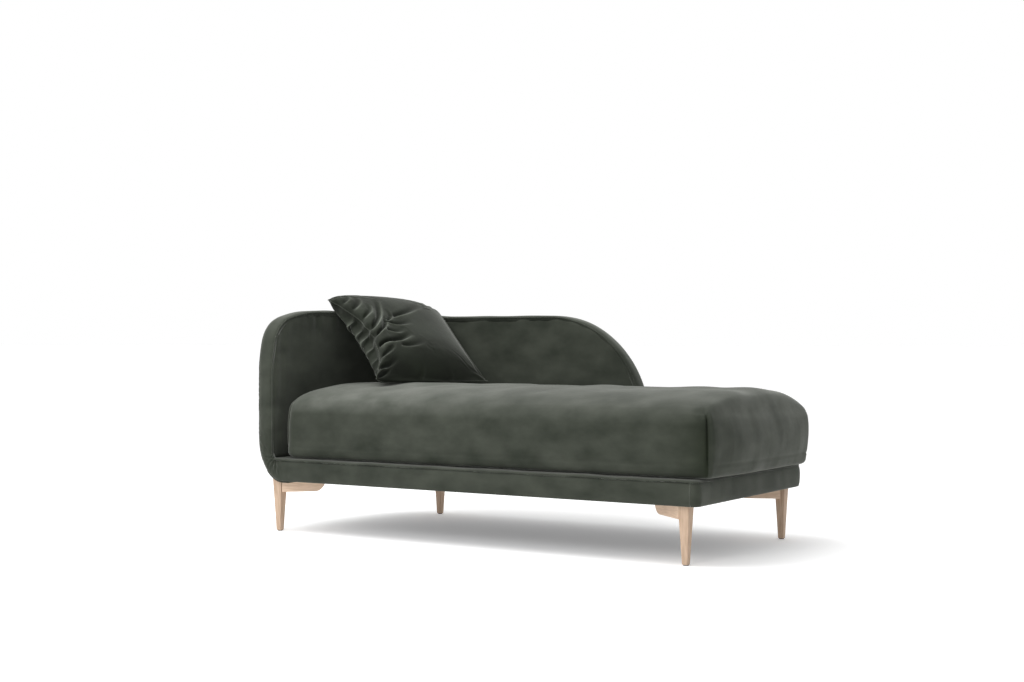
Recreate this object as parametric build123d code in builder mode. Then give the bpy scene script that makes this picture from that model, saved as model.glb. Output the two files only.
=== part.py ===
"""Upholstered daybed: a padded platform on four timber legs, with one arm that wraps into a low
backrest, a thick loose seat cushion and a loose throw pillow.

Millimetres, +Z up. +X points to the open foot end, -X to the arm, -Y to the front.
The origin is on the floor, in the middle of the whole object's length and depth.
"""

from build123d import *
import os
from math import cos, radians, sin

os.makedirs("parts", exist_ok=True)

# ---- Driving dimensions ----
SHELL_LEFT = -905.0
SHELL_RIGHT = 859.0
HALF_DEPTH = 427.5
LEG_HEIGHT = 184.0
ARM_TOP = 806.0
BACK_TOP = 788.0
WALL = 58.0  # finished thickness of arm and backrest
SEAM_Z = 258.0  # seam between the base border and the covers above it
DECK_TOP = 278.0
CORNER_RADIUS = 300.0  # plan radius where the arm turns into the backrest
FOOT_BACK_RADIUS = 50.0
FOOT_FRONT_RADIUS = 27.0
ARM_FRONT_RADIUS = 14.0
UNDER_X, UNDER_Z = 108.0, 160.0  # half axes of the rounded edge under the arm
WALL_END = 258.0  # where the backrest stops
END_RADIUS = 400.0  # quarter round at the end of the backrest
FALL_START = SHELL_LEFT + WALL + 6  # from here the rim falls to the backrest's height
CROWN_RADIUS, TURN_RADIUS, FLANK_RADIUS = 695.0, 129.0, 455.0  # arm top, front corner, front edge
CROWN_ANGLE, TURN_ANGLE = 15.0, 60.0

# ---- Layers of the shell, as depths from its outside ----
COVER = 2.0
WADDING = 14.0
BOARD = 27.0
POST = 47.0
EDGE_ROLL = 16.0  # foam kept around the rim of the boards
BOARD_FOOT = 300.0  # arm and corner boards end above the rounded edge

# ---- Platform frame ----
FRAME_BOTTOM = LEG_HEIGHT + COVER
RAIL_TOP = 250.0
RAIL = 34.0
CROSS_RAIL_TOP = 240.0
CROSS_RAIL_X = (-400.0, 0.0, 400.0)
WIRE = 3.6
SPRING_X = [-700 + 200 * i for i in range(8)]
SPRING_TURN = 16.0
SPRING_WIDTH = 52.0
SPRING_TURNS = 23
FELT_BOTTOM, FELT_TOP = 257.0, 261.0
MOUNT_BOARD_TOP = 204.0

# ---- Legs ----
LEG_TOP_SIDE, LEG_FOOT_SIDE = 37.0, 19.0
GLIDE = 3.0
BRACKET_LENGTH, BRACKET_HEIGHT, BRACKET_WIDTH = 162.0, 42.0, 44.0
BRACKET_START = 9.0  # from the leg's centre, inside the post that trims it
BRACKET_END_RADIUS = 34.0
BRACKET_ANGLE = 35.0
BOLT_AT = (75.0, 130.0)
BOLT_RADIUS, BOLT_HEAD_RADIUS, BOLT_HEAD = 4.0, 6.5, 5.0
BOLT_HEAD_Z, BOLT_PLAY = 150.0, 0.3
TEE_RADIUS, TEE_LENGTH, FLANGE_RADIUS, FLANGE = 6.0, 12.0, 12.0, 2.0
DOWEL_RADIUS, DOWEL_LENGTH, DOWEL_REACH, DOWEL_DROP, DOWEL_SPREAD = 4.0, 34.0, 26.0, 19.0, 9.0
ARM_LEG_RISE = 26.0  # the post under the arm goes up to meet the rounded underside
LEGS = {
    "front_left": (-835.0, -388.0, 1, 1),
    "front_right": (799.0, -388.0, -1, 1),
    "back_right": (799.0, 368.0, -1, -1),
    "back_left": (-655.0, 368.0, 1, -1),
}

# ---- Seat cushion and pillow ----
SEAT = {"left": -805.0, "right": 905.0, "front": -402.0, "back": 355.0}
SEAT_BOTTOM, SEAT_TOP = 279.0, 512.0
SEAT_CORNERS = (45.0, 40.0, 60.0, 200.0)
SEAT_TOP_ROUND, SEAT_BOTTOM_ROUND = 36.0, 22.0
SEAT_WRAP = 16.0
PILLOW_SIDE = 486.0
PILLOW_HALF = 74.0
PILLOW_RIGHT = (0.3725, 0.9261, -0.0590)
PILLOW_FACE = (0.585, -0.185, 0.790)
PILLOW_CENTRE = (-598.0, 66.0, 686.0)
PILLOW_COVER = 2.0

# ---- Zips ----
ZIP_Z = 314.0
ZIP_START, ZIP_END = -500.0, 800.0
TAPE_WIDTH, TAPE = 28.0, 1.0
CHAIN_WIDTH, CHAIN = 6.0, 2.2
SLIDER_LENGTH, SLIDER_WIDTH, SLIDER_WALL = 12.0, 11.0, 1.6
ZIP_GAP = 0.4
PULL_LENGTH, PULL_WIDTH, PULL = 24.0, 8.0, 1.6
PIN_RADIUS = 0.8


def save(piece, name):
    """Label one finished piece and write its STEP file."""
    piece.part.label = name
    export_step(piece.part, f"parts/{name}.step")


# ---- Outlines of the shell ----
def footprint(inset, mode=Mode.ADD):
    """Plan outline of the shell, drawn inside its finished surface."""
    left, right = SHELL_LEFT + inset, SHELL_RIGHT - inset
    front, back = -HALF_DEPTH + inset, HALF_DEPTH - inset
    radii = [max(r - inset, 1) for r in
             (ARM_FRONT_RADIUS, FOOT_FRONT_RADIUS, FOOT_BACK_RADIUS, CORNER_RADIUS)]
    with BuildLine() as outline:
        FilletPolyline((left, front), (right, front), (right, back), (left, back),
                       radius=radii, close=True)
    make_face(outline.edges(), mode=mode)


def room(depth, mode=Mode.ADD):
    """Plan of the space enclosed by the wall, open to the front and to the foot end."""
    left, back = SHELL_LEFT + depth, HALF_DEPTH - depth
    right, front = SHELL_RIGHT + 100, -HALF_DEPTH - 100
    with BuildLine() as outline:
        corner = CenterArc((left + CORNER_RADIUS - depth, back - CORNER_RADIUS + depth),
                           CORNER_RADIUS - depth, 90, 90)
        Polyline(corner @ 1, (left, front), (right, front), (right, back), corner @ 0)
    make_face(outline.edges(), mode=mode)


def deck_plan(inset):
    """Plan of the platform's top: the room inside the wall, and all of it past the wall's end."""
    room(WALL)
    with Locations(((WALL_END + SHELL_RIGHT) / 2, 0)):
        Rectangle(SHELL_RIGHT - WALL_END, 2 * HALF_DEPTH)
    footprint(inset, Mode.INTERSECT)


def wall_elevation(inset, rounded=True):
    """Front view of the wall: rounded under the arm, falling to the backrest, quarter-round end."""
    left = SHELL_LEFT + (inset if rounded else 0)
    end = WALL_END - inset
    bottom, top = LEG_HEIGHT + inset, BACK_TOP - inset
    turn_x = SHELL_LEFT + CORNER_RADIUS
    end_z = BACK_TOP - END_RADIUS
    with BuildLine() as outline:
        if rounded:
            under = EllipticalCenterArc((SHELL_LEFT + UNDER_X, LEG_HEIGHT + UNDER_Z),
                                        UNDER_X - inset, UNDER_Z - inset, 180, arc_size=90)
            Polyline(under @ 1, (end, bottom), (end, end_z))
            Line((left, ARM_TOP - inset), under @ 0)
        else:
            Polyline((left, ARM_TOP - inset), (left, bottom), (end, bottom), (end, end_z))
        CenterArc((WALL_END - END_RADIUS, end_z), END_RADIUS - inset, 0, 90)
        Line((WALL_END - END_RADIUS, top), (turn_x, top))
        Spline((turn_x, top), (FALL_START, ARM_TOP - inset), tangents=((-1, 0), (-1, 0)))
        Line((FALL_START, ARM_TOP - inset), (left, ARM_TOP - inset))
    make_face(outline.edges())


def base_elevation(inset):
    """Front view of the platform's underside, rounded under the arm."""
    with BuildLine() as outline:
        under = EllipticalCenterArc((SHELL_LEFT + UNDER_X, LEG_HEIGHT + UNDER_Z),
                                    UNDER_X - inset, UNDER_Z - inset, 180, arc_size=90)
        Polyline(under @ 1, (SHELL_RIGHT, LEG_HEIGHT + inset), (SHELL_RIGHT, LEG_HEIGHT + UNDER_Z),
                 under @ 0)
    make_face(outline.edges())


def arm_elevation(inset):
    """End view of the arm: upright front edge, rounded front corner, gently crowned top."""
    front = -HALF_DEPTH + inset
    flank_angle = 90 - CROWN_ANGLE - TURN_ANGLE
    rise = (FLANK_RADIUS * sin(radians(flank_angle))
            + TURN_RADIUS * (sin(radians(flank_angle + TURN_ANGLE)) - sin(radians(flank_angle)))
            + CROWN_RADIUS * (1 - sin(radians(flank_angle + TURN_ANGLE))))
    with BuildLine() as outline:
        flank = JernArc((front, ARM_TOP - rise), (0, 1), FLANK_RADIUS - inset, -flank_angle)
        turn = JernArc(flank @ 1, flank % 1, TURN_RADIUS - inset, -TURN_ANGLE)
        crown = JernArc(turn @ 1, turn % 1, CROWN_RADIUS - inset, -CROWN_ANGLE)
        Polyline(crown @ 1, ((crown @ 1).X, ARM_TOP + 30), (HALF_DEPTH + 50, ARM_TOP + 30),
                 (HALF_DEPTH + 50, 0), (front, 0), flank @ 0)
    make_face(outline.edges())


ARM_ZONE = (SHELL_LEFT - 10, SHELL_LEFT + CORNER_RADIUS, -HALF_DEPTH - 10, HALF_DEPTH - CORNER_RADIUS)
CORNER_ZONE = (SHELL_LEFT - 10, SHELL_LEFT + CORNER_RADIUS, HALF_DEPTH - CORNER_RADIUS, HALF_DEPTH + 10)
BACK_ZONE = (SHELL_LEFT + CORNER_RADIUS, WALL_END + 10, 0, HALF_DEPTH + 10)
WHOLE_ZONE = (SHELL_LEFT - 10, WALL_END + 10, -HALF_DEPTH - 10, HALF_DEPTH + 10)


def wall_layer(outer, inner, inset, low, zone=WHOLE_ZONE, rounded=True):
    """One layer of the wall between two depths, its rim held in from the finished rim."""
    x0, x1, y0, y1 = zone
    with BuildPart() as layer:
        with BuildSketch(Plane.XY.offset(low)):
            footprint(outer)
            room(inner, Mode.SUBTRACT)
            with Locations(((x0 + x1) / 2, (y0 + y1) / 2)):
                Rectangle(x1 - x0, y1 - y0, mode=Mode.INTERSECT)
        extrude(amount=ARM_TOP + 10 - low)
        with BuildSketch(Plane.XZ):
            wall_elevation(inset, rounded)
        extrude(amount=HALF_DEPTH + 20, both=True, mode=Mode.INTERSECT)
        with BuildSketch(Plane.YZ):
            arm_elevation(inset)
        extrude(amount=SHELL_RIGHT + 100, both=True, mode=Mode.INTERSECT)
    return layer.part


def platform(inset, top):
    """The platform's solid inside its finished surface, up to a height."""
    with BuildPart() as block:
        with BuildSketch(Plane.XY.offset(LEG_HEIGHT)):
            footprint(inset)
        extrude(amount=top - LEG_HEIGHT)
        with BuildSketch(Plane.XZ):
            base_elevation(inset)
        extrude(amount=HALF_DEPTH + 20, both=True, mode=Mode.INTERSECT)
    return block.part


def slab(x0, x1, y0, y1, z0, z1, mode=Mode.ADD):
    """A rectangular block between six planes, added to the part being built."""
    with Locations(((x0 + x1) / 2, (y0 + y1) / 2, (z0 + z1) / 2)):
        Box(x1 - x0, y1 - y0, z1 - z0, mode=mode)


def rod(x, y, z0, z1, radius, mode=Mode.ADD):
    """An upright round bar, added to the part being built."""
    with Locations((x, y, (z0 + z1) / 2)):
        Cylinder(radius, z1 - z0, mode=mode)


# ---- Legs: where their brackets and bolts lie ----
def bracket_plane(name):
    """Upright plane along a leg's bracket, its X running from the leg's centre inwards."""
    x, y, side_x, side_y = LEGS[name]
    along = (side_x * cos(radians(BRACKET_ANGLE)), side_y * sin(radians(BRACKET_ANGLE)), 0)
    across = (along[1], -along[0], 0)
    return Plane(origin=(x, y, 0), x_dir=along, z_dir=across)


def bolt_points():
    """Plan positions of the eight leg bolts."""
    return [bracket_plane(name).from_local_coords((reach, 0, 0)) for name in LEGS for reach in BOLT_AT]


with BuildPart() as leg_bolts:
    for point in bolt_points():
        rod(point.X, point.Y, BOLT_HEAD_Z, BOLT_HEAD_Z + BOLT_HEAD, BOLT_HEAD_RADIUS)
        rod(point.X, point.Y, BOLT_HEAD_Z + BOLT_HEAD, MOUNT_BOARD_TOP + 6, BOLT_RADIUS)
save(leg_bolts, "leg_bolts")

with BuildPart() as leg_tee_nuts:
    for point in bolt_points():
        rod(point.X, point.Y, MOUNT_BOARD_TOP - TEE_LENGTH, MOUNT_BOARD_TOP, TEE_RADIUS)
        rod(point.X, point.Y, MOUNT_BOARD_TOP, MOUNT_BOARD_TOP + FLANGE, FLANGE_RADIUS)
        rod(point.X, point.Y, MOUNT_BOARD_TOP - TEE_LENGTH - 1, MOUNT_BOARD_TOP + FLANGE + 1,
            BOLT_RADIUS + 0.1, Mode.SUBTRACT)
save(leg_tee_nuts, "leg_tee_nuts")

with BuildPart() as leg_dowels:
    for name in LEGS:
        plane = bracket_plane(name)
        middle = Location((DOWEL_REACH, LEG_HEIGHT - DOWEL_DROP, 0))
        with Locations(*[plane.offset(side * DOWEL_SPREAD) * middle for side in (-1, 1)]):
            Cylinder(DOWEL_RADIUS, DOWEL_LENGTH, rotation=(0, 90, 0))
save(leg_dowels, "leg_dowels")


def leg_post(name):
    """Square post that tapers to its foot; its top follows the platform's rounded underside."""
    x, y, _, _ = LEGS[name]
    top = LEG_HEIGHT + (ARM_LEG_RISE if name == "front_left" else 0)
    underside = platform(0, RAIL_TOP)
    with BuildPart() as post:
        with BuildSketch(Plane.XY.offset(GLIDE)):
            with Locations((x, y)):
                RectangleRounded(LEG_FOOT_SIDE, LEG_FOOT_SIDE, 1.5)
        with BuildSketch(Plane.XY.offset(LEG_HEIGHT)):
            with Locations((x, y)):
                RectangleRounded(LEG_TOP_SIDE, LEG_TOP_SIDE, 1.5)
        loft(ruled=True)
        if top > LEG_HEIGHT:
            with BuildSketch(Plane.XY.offset(LEG_HEIGHT)):
                with Locations((x, y)):
                    RectangleRounded(LEG_TOP_SIDE, LEG_TOP_SIDE, 1.5)
            extrude(amount=top - LEG_HEIGHT)
            add(underside, mode=Mode.SUBTRACT)
        add(leg_dowels.part, mode=Mode.SUBTRACT)
    return post


def leg_bracket(name, post):
    """Diagonal bracket from the post's top towards the middle, its free end rounded below."""
    with BuildPart() as bracket:
        with BuildSketch(bracket_plane(name)):
            with BuildLine() as outline:
                FilletPolyline((BRACKET_START, LEG_HEIGHT), (BRACKET_START, LEG_HEIGHT - BRACKET_HEIGHT),
                               (BRACKET_LENGTH, LEG_HEIGHT - BRACKET_HEIGHT + 3),
                               (BRACKET_LENGTH, LEG_HEIGHT),
                               radius=(0, 0, BRACKET_END_RADIUS, 0), close=True)
            make_face()
        extrude(amount=BRACKET_WIDTH / 2, both=True)
        fillet(bracket.faces().filter_by(Axis.Z).sort_by(Axis.Z)[0].edges().filter_by(GeomType.LINE), 2)
        for reach in BOLT_AT:
            point = bracket_plane(name).from_local_coords((reach, 0, 0))
            rod(point.X, point.Y, BOLT_HEAD_Z - 50, BOLT_HEAD_Z + BOLT_HEAD, BOLT_HEAD_RADIUS + 1,
                Mode.SUBTRACT)
            rod(point.X, point.Y, BOLT_HEAD_Z, LEG_HEIGHT, BOLT_RADIUS + BOLT_PLAY, Mode.SUBTRACT)
        add(post.part, mode=Mode.SUBTRACT)
        add(leg_dowels.part, mode=Mode.SUBTRACT)
    return bracket


leg_posts = {name: leg_post(name) for name in LEGS}
for name, post in leg_posts.items():
    save(post, f"leg_post_{name}")
    save(leg_bracket(name, post), f"leg_bracket_{name}")

with BuildPart() as foot_glides:
    for x, y, _, _ in LEGS.values():
        rod(x, y, 0, GLIDE, LEG_FOOT_SIDE / 2 - 0.5)
    fillet(foot_glides.faces().filter_by(Axis.Z).group_by(Axis.Z)[0].edges(), 0.8)
save(foot_glides, "foot_glides")

# ---- Platform frame ----
FRONT_RAIL_Y = -HALF_DEPTH + WADDING
BACK_RAIL_Y = HALF_DEPTH - WADDING
FOOT_RAIL_X = SHELL_RIGHT - WADDING
FORMER_RIGHT = SHELL_LEFT + UNDER_X

POST_WIDTH = 40.0
ARM_POSTS = ((-360.0, 610.0), (-140.0, 700.0), (90.0, 700.0))  # place along the arm, top
BACK_POSTS = ((-540.0, 700.0), (-170.0, 700.0), (180.0, 560.0))  # place along the backrest, top
POST_SPOTS = (
    [(SHELL_LEFT + (BOARD + POST) / 2, y, top) for y, top in ARM_POSTS]
    + [(x, HALF_DEPTH - (BOARD + POST) / 2, top) for x, top in BACK_POSTS]
)
POST_BOLT_RADIUS, POST_BOLT_HEAD, POST_BOLT_TOP = 3.0, 4.0, 320.0

with BuildPart() as post_bolts:
    for x, y, _ in POST_SPOTS:
        head = 240 if x < FORMER_RIGHT else 200
        rod(x, y, head, head + POST_BOLT_HEAD, 2 * POST_BOLT_RADIUS)
        rod(x, y, head + POST_BOLT_HEAD, POST_BOLT_TOP, POST_BOLT_RADIUS)
save(post_bolts, "post_bolts")

frame_block = platform(WADDING, RAIL_TOP)
with BuildPart() as arm_end_former:
    add(frame_block)
    slab(FORMER_RIGHT, SHELL_RIGHT, -HALF_DEPTH, HALF_DEPTH, LEG_HEIGHT, RAIL_TOP, Mode.SUBTRACT)
    slab(SHELL_LEFT, FORMER_RIGHT, -HALF_DEPTH, HALF_DEPTH, LEG_HEIGHT, FRAME_BOTTOM, Mode.SUBTRACT)
    add(post_bolts.part, mode=Mode.SUBTRACT)
save(arm_end_former, "arm_end_former")

with BuildPart() as front_rail:
    slab(FORMER_RIGHT, FOOT_RAIL_X - RAIL, FRONT_RAIL_Y, FRONT_RAIL_Y + RAIL, FRAME_BOTTOM, RAIL_TOP)
save(front_rail, "front_rail")

with BuildPart() as back_rail:
    slab(SHELL_LEFT + CORNER_RADIUS, FOOT_RAIL_X - RAIL, BACK_RAIL_Y - RAIL, BACK_RAIL_Y,
         FRAME_BOTTOM, RAIL_TOP)
    add(post_bolts.part, mode=Mode.SUBTRACT)
save(back_rail, "back_rail")

with BuildPart() as corner_block:
    add(frame_block)
    slab(FORMER_RIGHT, SHELL_LEFT + CORNER_RADIUS, BACK_RAIL_Y - 110, HALF_DEPTH, FRAME_BOTTOM, RAIL_TOP,
         Mode.INTERSECT)
    add(leg_tee_nuts.part, mode=Mode.SUBTRACT)
save(corner_block, "corner_block")

with BuildPart() as foot_rail:
    add(frame_block)
    slab(FOOT_RAIL_X - RAIL, FOOT_RAIL_X + 1, -HALF_DEPTH, HALF_DEPTH, FRAME_BOTTOM, RAIL_TOP,
         Mode.INTERSECT)
save(foot_rail, "foot_rail")

with BuildPart() as cross_rails:
    for x in CROSS_RAIL_X:
        slab(x - 15, x + 15, FRONT_RAIL_Y + RAIL, BACK_RAIL_Y - RAIL, FRAME_BOTTOM, CROSS_RAIL_TOP)
save(cross_rails, "cross_rails")

LEFT_BOARD = (FORMER_RIGHT, -500.0, FRONT_RAIL_Y + RAIL, BACK_RAIL_Y - 110)
RIGHT_BOARD = (640.0, FOOT_RAIL_X - RAIL, FRONT_RAIL_Y + RAIL, BACK_RAIL_Y - RAIL)
with BuildPart() as leg_mount_boards:
    slab(*LEFT_BOARD, FRAME_BOTTOM, MOUNT_BOARD_TOP)
    slab(SHELL_LEFT + CORNER_RADIUS, -500, BACK_RAIL_Y - 110, BACK_RAIL_Y - RAIL, FRAME_BOTTOM,
         MOUNT_BOARD_TOP)
    slab(*RIGHT_BOARD, FRAME_BOTTOM, MOUNT_BOARD_TOP)
    for point in bolt_points():
        rod(point.X, point.Y, LEG_HEIGHT, MOUNT_BOARD_TOP, TEE_RADIUS, Mode.SUBTRACT)
save(leg_mount_boards, "leg_mount_boards")

# ---- Suspension ----
SPRING_Z = RAIL_TOP + WIRE / 2
SPRING_START = -SPRING_TURN * SPRING_TURNS


def zigzag_spring():
    """One sinuous wire spring, straight runs joined by half-round turns, lying on the rails."""
    half = SPRING_WIDTH / 2 - SPRING_TURN
    with BuildPart() as spring:
        with BuildLine(Plane.XY.offset(SPRING_Z)):
            side, y = 1, SPRING_START
            for _ in range(SPRING_TURNS):
                Line((-side * half, y), (side * half, y))
                ThreePointArc((side * half, y), (side * (half + SPRING_TURN), y + SPRING_TURN),
                              (side * half, y + 2 * SPRING_TURN))
                side, y = -side, y + 2 * SPRING_TURN
            Line((-side * half, y), (side * half, y))
        with BuildSketch(Plane(origin=(-half, SPRING_START, SPRING_Z), z_dir=(1, 0, 0))):
            Circle(WIRE / 2)
        sweep()
    return spring.part


one_spring = zigzag_spring()
with BuildPart() as zigzag_springs:
    with Locations(*[(x, 0, 0) for x in SPRING_X]):
        add(one_spring)
save(zigzag_springs, "zigzag_springs")

with BuildPart() as spring_clips:
    for x in SPRING_X:
        for y in (SPRING_START, -SPRING_START):
            slab(x - 9, x + 9, y - 5, y + 5, RAIL_TOP, RAIL_TOP + WIRE + 1.5)
            slab(x - 10, x + 10, y - 2, y + 2, RAIL_TOP - 1, RAIL_TOP + WIRE + 0.2, Mode.SUBTRACT)
save(spring_clips, "spring_clips")

with BuildPart() as deck_felt:
    with BuildSketch(Plane.XY.offset(FELT_BOTTOM)):
        deck_plan(WADDING)
    extrude(amount=FELT_TOP - FELT_BOTTOM)
save(deck_felt, "deck_felt")

with BuildPart() as deck_foam:
    with BuildSketch(Plane.XY.offset(FELT_TOP)):
        deck_plan(COVER)
    extrude(amount=DECK_TOP - COVER - FELT_TOP)
save(deck_foam, "deck_foam")

with BuildPart() as deck_cover:
    with BuildSketch(Plane.XY.offset(SEAM_Z)):
        deck_plan(0)
    extrude(amount=DECK_TOP - SEAM_Z)
    with BuildSketch(Plane.XY.offset(SEAM_Z)):
        deck_plan(COVER)
    extrude(amount=DECK_TOP - COVER - SEAM_Z, mode=Mode.SUBTRACT)
save(deck_cover, "deck_cover")

# ---- Wall frame ----
SCREW_HEIGHTS = (330.0, 430.0, 530.0)
SCREW_RADIUS, SCREW_LENGTH, SCREW_HEAD_RADIUS, SCREW_HEAD = 2.2, 26.0, 4.5, 3.0

with BuildPart() as post_blocks:
    for x, y, top in POST_SPOTS:
        if x < FORMER_RIGHT:
            slab(SHELL_LEFT + BOARD, SHELL_LEFT + POST, y - POST_WIDTH / 2, y + POST_WIDTH / 2,
                 RAIL_TOP, top)
        else:
            slab(x - POST_WIDTH / 2, x + POST_WIDTH / 2, HALF_DEPTH - POST, HALF_DEPTH - BOARD,
                 RAIL_TOP, top)

with BuildPart() as board_screws:
    for x, y, _ in POST_SPOTS:
        for z in SCREW_HEIGHTS:
            if x < FORMER_RIGHT:
                start = Location((SHELL_LEFT + WADDING, y, z), (0, 90, 0))
            else:
                start = Location((x, HALF_DEPTH - WADDING, z), (90, 0, 0))
            with Locations(start * Location((0, 0, SCREW_HEAD / 2))):
                Cylinder(SCREW_HEAD_RADIUS, SCREW_HEAD)
            with Locations(start * Location((0, 0, SCREW_HEAD + SCREW_LENGTH / 2))):
                Cylinder(SCREW_RADIUS, SCREW_LENGTH)
save(board_screws, "board_screws")

with BuildPart() as wall_posts:
    add(post_blocks.part)
    add(post_bolts.part, mode=Mode.SUBTRACT)
    add(board_screws.part, mode=Mode.SUBTRACT)
save(wall_posts, "wall_posts")

# ---- Platform padding and covers ----
PADDING_TOP = SEAM_Z - 1
PADDING_ZONES = {
    "front": (FORMER_RIGHT, FOOT_RAIL_X - RAIL, -HALF_DEPTH, 0),
    "foot": (FOOT_RAIL_X - RAIL, SHELL_RIGHT, -HALF_DEPTH, HALF_DEPTH),
    "back": (SHELL_LEFT + CORNER_RADIUS, FOOT_RAIL_X - RAIL, 0, HALF_DEPTH),
    "corner": (SHELL_LEFT, SHELL_LEFT + CORNER_RADIUS, HALF_DEPTH - CORNER_RADIUS, HALF_DEPTH),
    "arm": (SHELL_LEFT, FORMER_RIGHT, -HALF_DEPTH, HALF_DEPTH - CORNER_RADIUS),
}
padding_outside = platform(COVER, PADDING_TOP)
padding_inside = platform(WADDING, PADDING_TOP)
with BuildPart() as frame_space:
    with BuildSketch(Plane.XY.offset(LEG_HEIGHT)):
        footprint(WADDING)
    extrude(amount=PADDING_TOP - LEG_HEIGHT)
    slab(FORMER_RIGHT, SHELL_RIGHT, -HALF_DEPTH, HALF_DEPTH, LEG_HEIGHT, PADDING_TOP, Mode.INTERSECT)

for side, (x0, x1, y0, y1) in PADDING_ZONES.items():
    with BuildPart() as padding:
        add(padding_outside)
        add(padding_inside, mode=Mode.SUBTRACT)
        add(frame_space.part, mode=Mode.SUBTRACT)
        slab(x0, x1, y0, y1, LEG_HEIGHT, PADDING_TOP, Mode.INTERSECT)
        add(leg_posts["front_left"].part, mode=Mode.SUBTRACT)
        add(post_blocks.part, mode=Mode.SUBTRACT)
        add(post_bolts.part, mode=Mode.SUBTRACT)
    save(padding, f"base_padding_{side}")

UNDER_TURN = 22.0  # how far the border is turned under and stapled
with BuildPart() as dust_sheet:
    with BuildSketch(Plane.XY.offset(LEG_HEIGHT)):
        footprint(UNDER_TURN)
    extrude(amount=COVER)
    slab(FORMER_RIGHT, SHELL_RIGHT, -HALF_DEPTH, HALF_DEPTH, LEG_HEIGHT, FRAME_BOTTOM, Mode.INTERSECT)

with BuildPart() as dust_cover:
    add(dust_sheet.part)
    for point in bolt_points():
        rod(point.X, point.Y, LEG_HEIGHT, FRAME_BOTTOM, BOLT_RADIUS + BOLT_PLAY, Mode.SUBTRACT)
save(dust_cover, "dust_cover")

cover_outside = platform(0, SEAM_Z)
cover_inside = platform(COVER, SEAM_Z)
with BuildPart() as base_border_cover:
    add(cover_outside)
    add(cover_inside, mode=Mode.SUBTRACT)
    add(dust_sheet.part, mode=Mode.SUBTRACT)
    add(leg_posts["front_left"].part, mode=Mode.SUBTRACT)
    for point in bolt_points():
        rod(point.X, point.Y, LEG_HEIGHT - 1, FRAME_BOTTOM + 1, BOLT_RADIUS + BOLT_PLAY, Mode.SUBTRACT)
save(base_border_cover, "base_border_cover")

# ---- Wall: foam and covers on the boards ----
WALL_ZONES = (
    ("arm", ARM_ZONE, BOARD_FOOT),
    ("corner", CORNER_ZONE, BOARD_FOOT),
    ("back", BACK_ZONE, RAIL_TOP),
)
for zone_name, zone, board_low in WALL_ZONES:
    board_layer = wall_layer(WADDING, BOARD, EDGE_ROLL, board_low, zone, rounded=False)
    foam_layer = wall_layer(COVER, WALL - COVER, COVER, SEAM_Z, zone)
    with BuildPart() as board:
        add(board_layer)
        add(board_screws.part, mode=Mode.SUBTRACT)
    save(board, f"{zone_name}_board")
    with BuildPart() as foam:
        add(foam_layer)
        add(board_layer, mode=Mode.SUBTRACT)
        add(post_blocks.part, mode=Mode.SUBTRACT)
    save(foam, f"{zone_name}_foam")

outer_skin = wall_layer(0, COVER, COVER, SEAM_Z)
with BuildPart() as wall_outer_cover:
    add(outer_skin)
save(wall_outer_cover, "wall_outer_cover")

inner_skin = wall_layer(WALL - COVER, WALL, COVER, SEAM_Z)
with BuildPart() as wall_inner_cover:
    add(inner_skin)
save(wall_inner_cover, "wall_inner_cover")

whole_wall = wall_layer(0, WALL, 0, SEAM_Z)
wall_inside = wall_layer(0, WALL, COVER, SEAM_Z)
with BuildPart() as wall_border_cover:
    add(whole_wall)
    add(wall_inside, mode=Mode.SUBTRACT)
save(wall_border_cover, "wall_border_cover")


# ---- Seat cushion ----
def seat_block(inset):
    """The seat cushion's solid inside its finished surface."""
    left, right = SEAT["left"] + inset, SEAT["right"] - inset
    front, back = SEAT["front"] + inset, SEAT["back"] - inset
    with BuildPart() as block:
        with BuildSketch(Plane.XY.offset(SEAT_BOTTOM + inset)):
            with BuildLine() as outline:
                FilletPolyline((left, front), (right, front), (right, back), (left, back),
                               radius=[r - inset for r in SEAT_CORNERS], close=True)
            make_face()
        extrude(amount=SEAT_TOP - SEAT_BOTTOM - 2 * inset)
        ends = block.faces().filter_by(Axis.Z).sort_by(Axis.Z)
        bottom_edges, top_edges = ends[0].edges(), ends[-1].edges()
        fillet(top_edges, SEAT_TOP_ROUND - inset)
        fillet(bottom_edges, SEAT_BOTTOM_ROUND - inset)
    return block.part


seat_solid, seat_stuffing, seat_foam = (seat_block(inset) for inset in (0, COVER, SEAT_WRAP))
with BuildPart() as seat_core:
    add(seat_foam)
save(seat_core, "seat_core")

with BuildPart() as seat_wrap:
    add(seat_stuffing)
    add(seat_foam, mode=Mode.SUBTRACT)
save(seat_wrap, "seat_wrap")

with BuildPart() as seat_cover:
    add(seat_solid)
    add(seat_stuffing, mode=Mode.SUBTRACT)
save(seat_cover, "seat_cover")

# ---- Throw pillow ----
PILLOW_PLANE = Plane(origin=PILLOW_CENTRE, x_dir=PILLOW_RIGHT, z_dir=PILLOW_FACE)
PILLOW_STEPS = 4


def pillow_block(inset):
    """Square pillow, thick in the middle and thin along its seam."""
    half = PILLOW_HALF - inset
    with BuildPart() as block:
        for step in range(-PILLOW_STEPS, PILLOW_STEPS + 1):
            share = step / PILLOW_STEPS
            side = (PILLOW_SIDE - 2 * inset) * (1 - 0.62 * abs(share) ** 1.9)
            with BuildSketch(PILLOW_PLANE.offset(half * share)):
                RectangleRounded(side, side, side * 0.07)
        loft(ruled=True)
    return block.part


pillow_solid, pillow_stuffing = (pillow_block(inset) for inset in (0, PILLOW_COVER))
with BuildPart() as pillow_filling:
    add(pillow_stuffing)
save(pillow_filling, "pillow_filling")

with BuildPart() as pillow_cover:
    add(pillow_solid)
    add(pillow_stuffing, mode=Mode.SUBTRACT)
save(pillow_cover, "pillow_cover")


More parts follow.
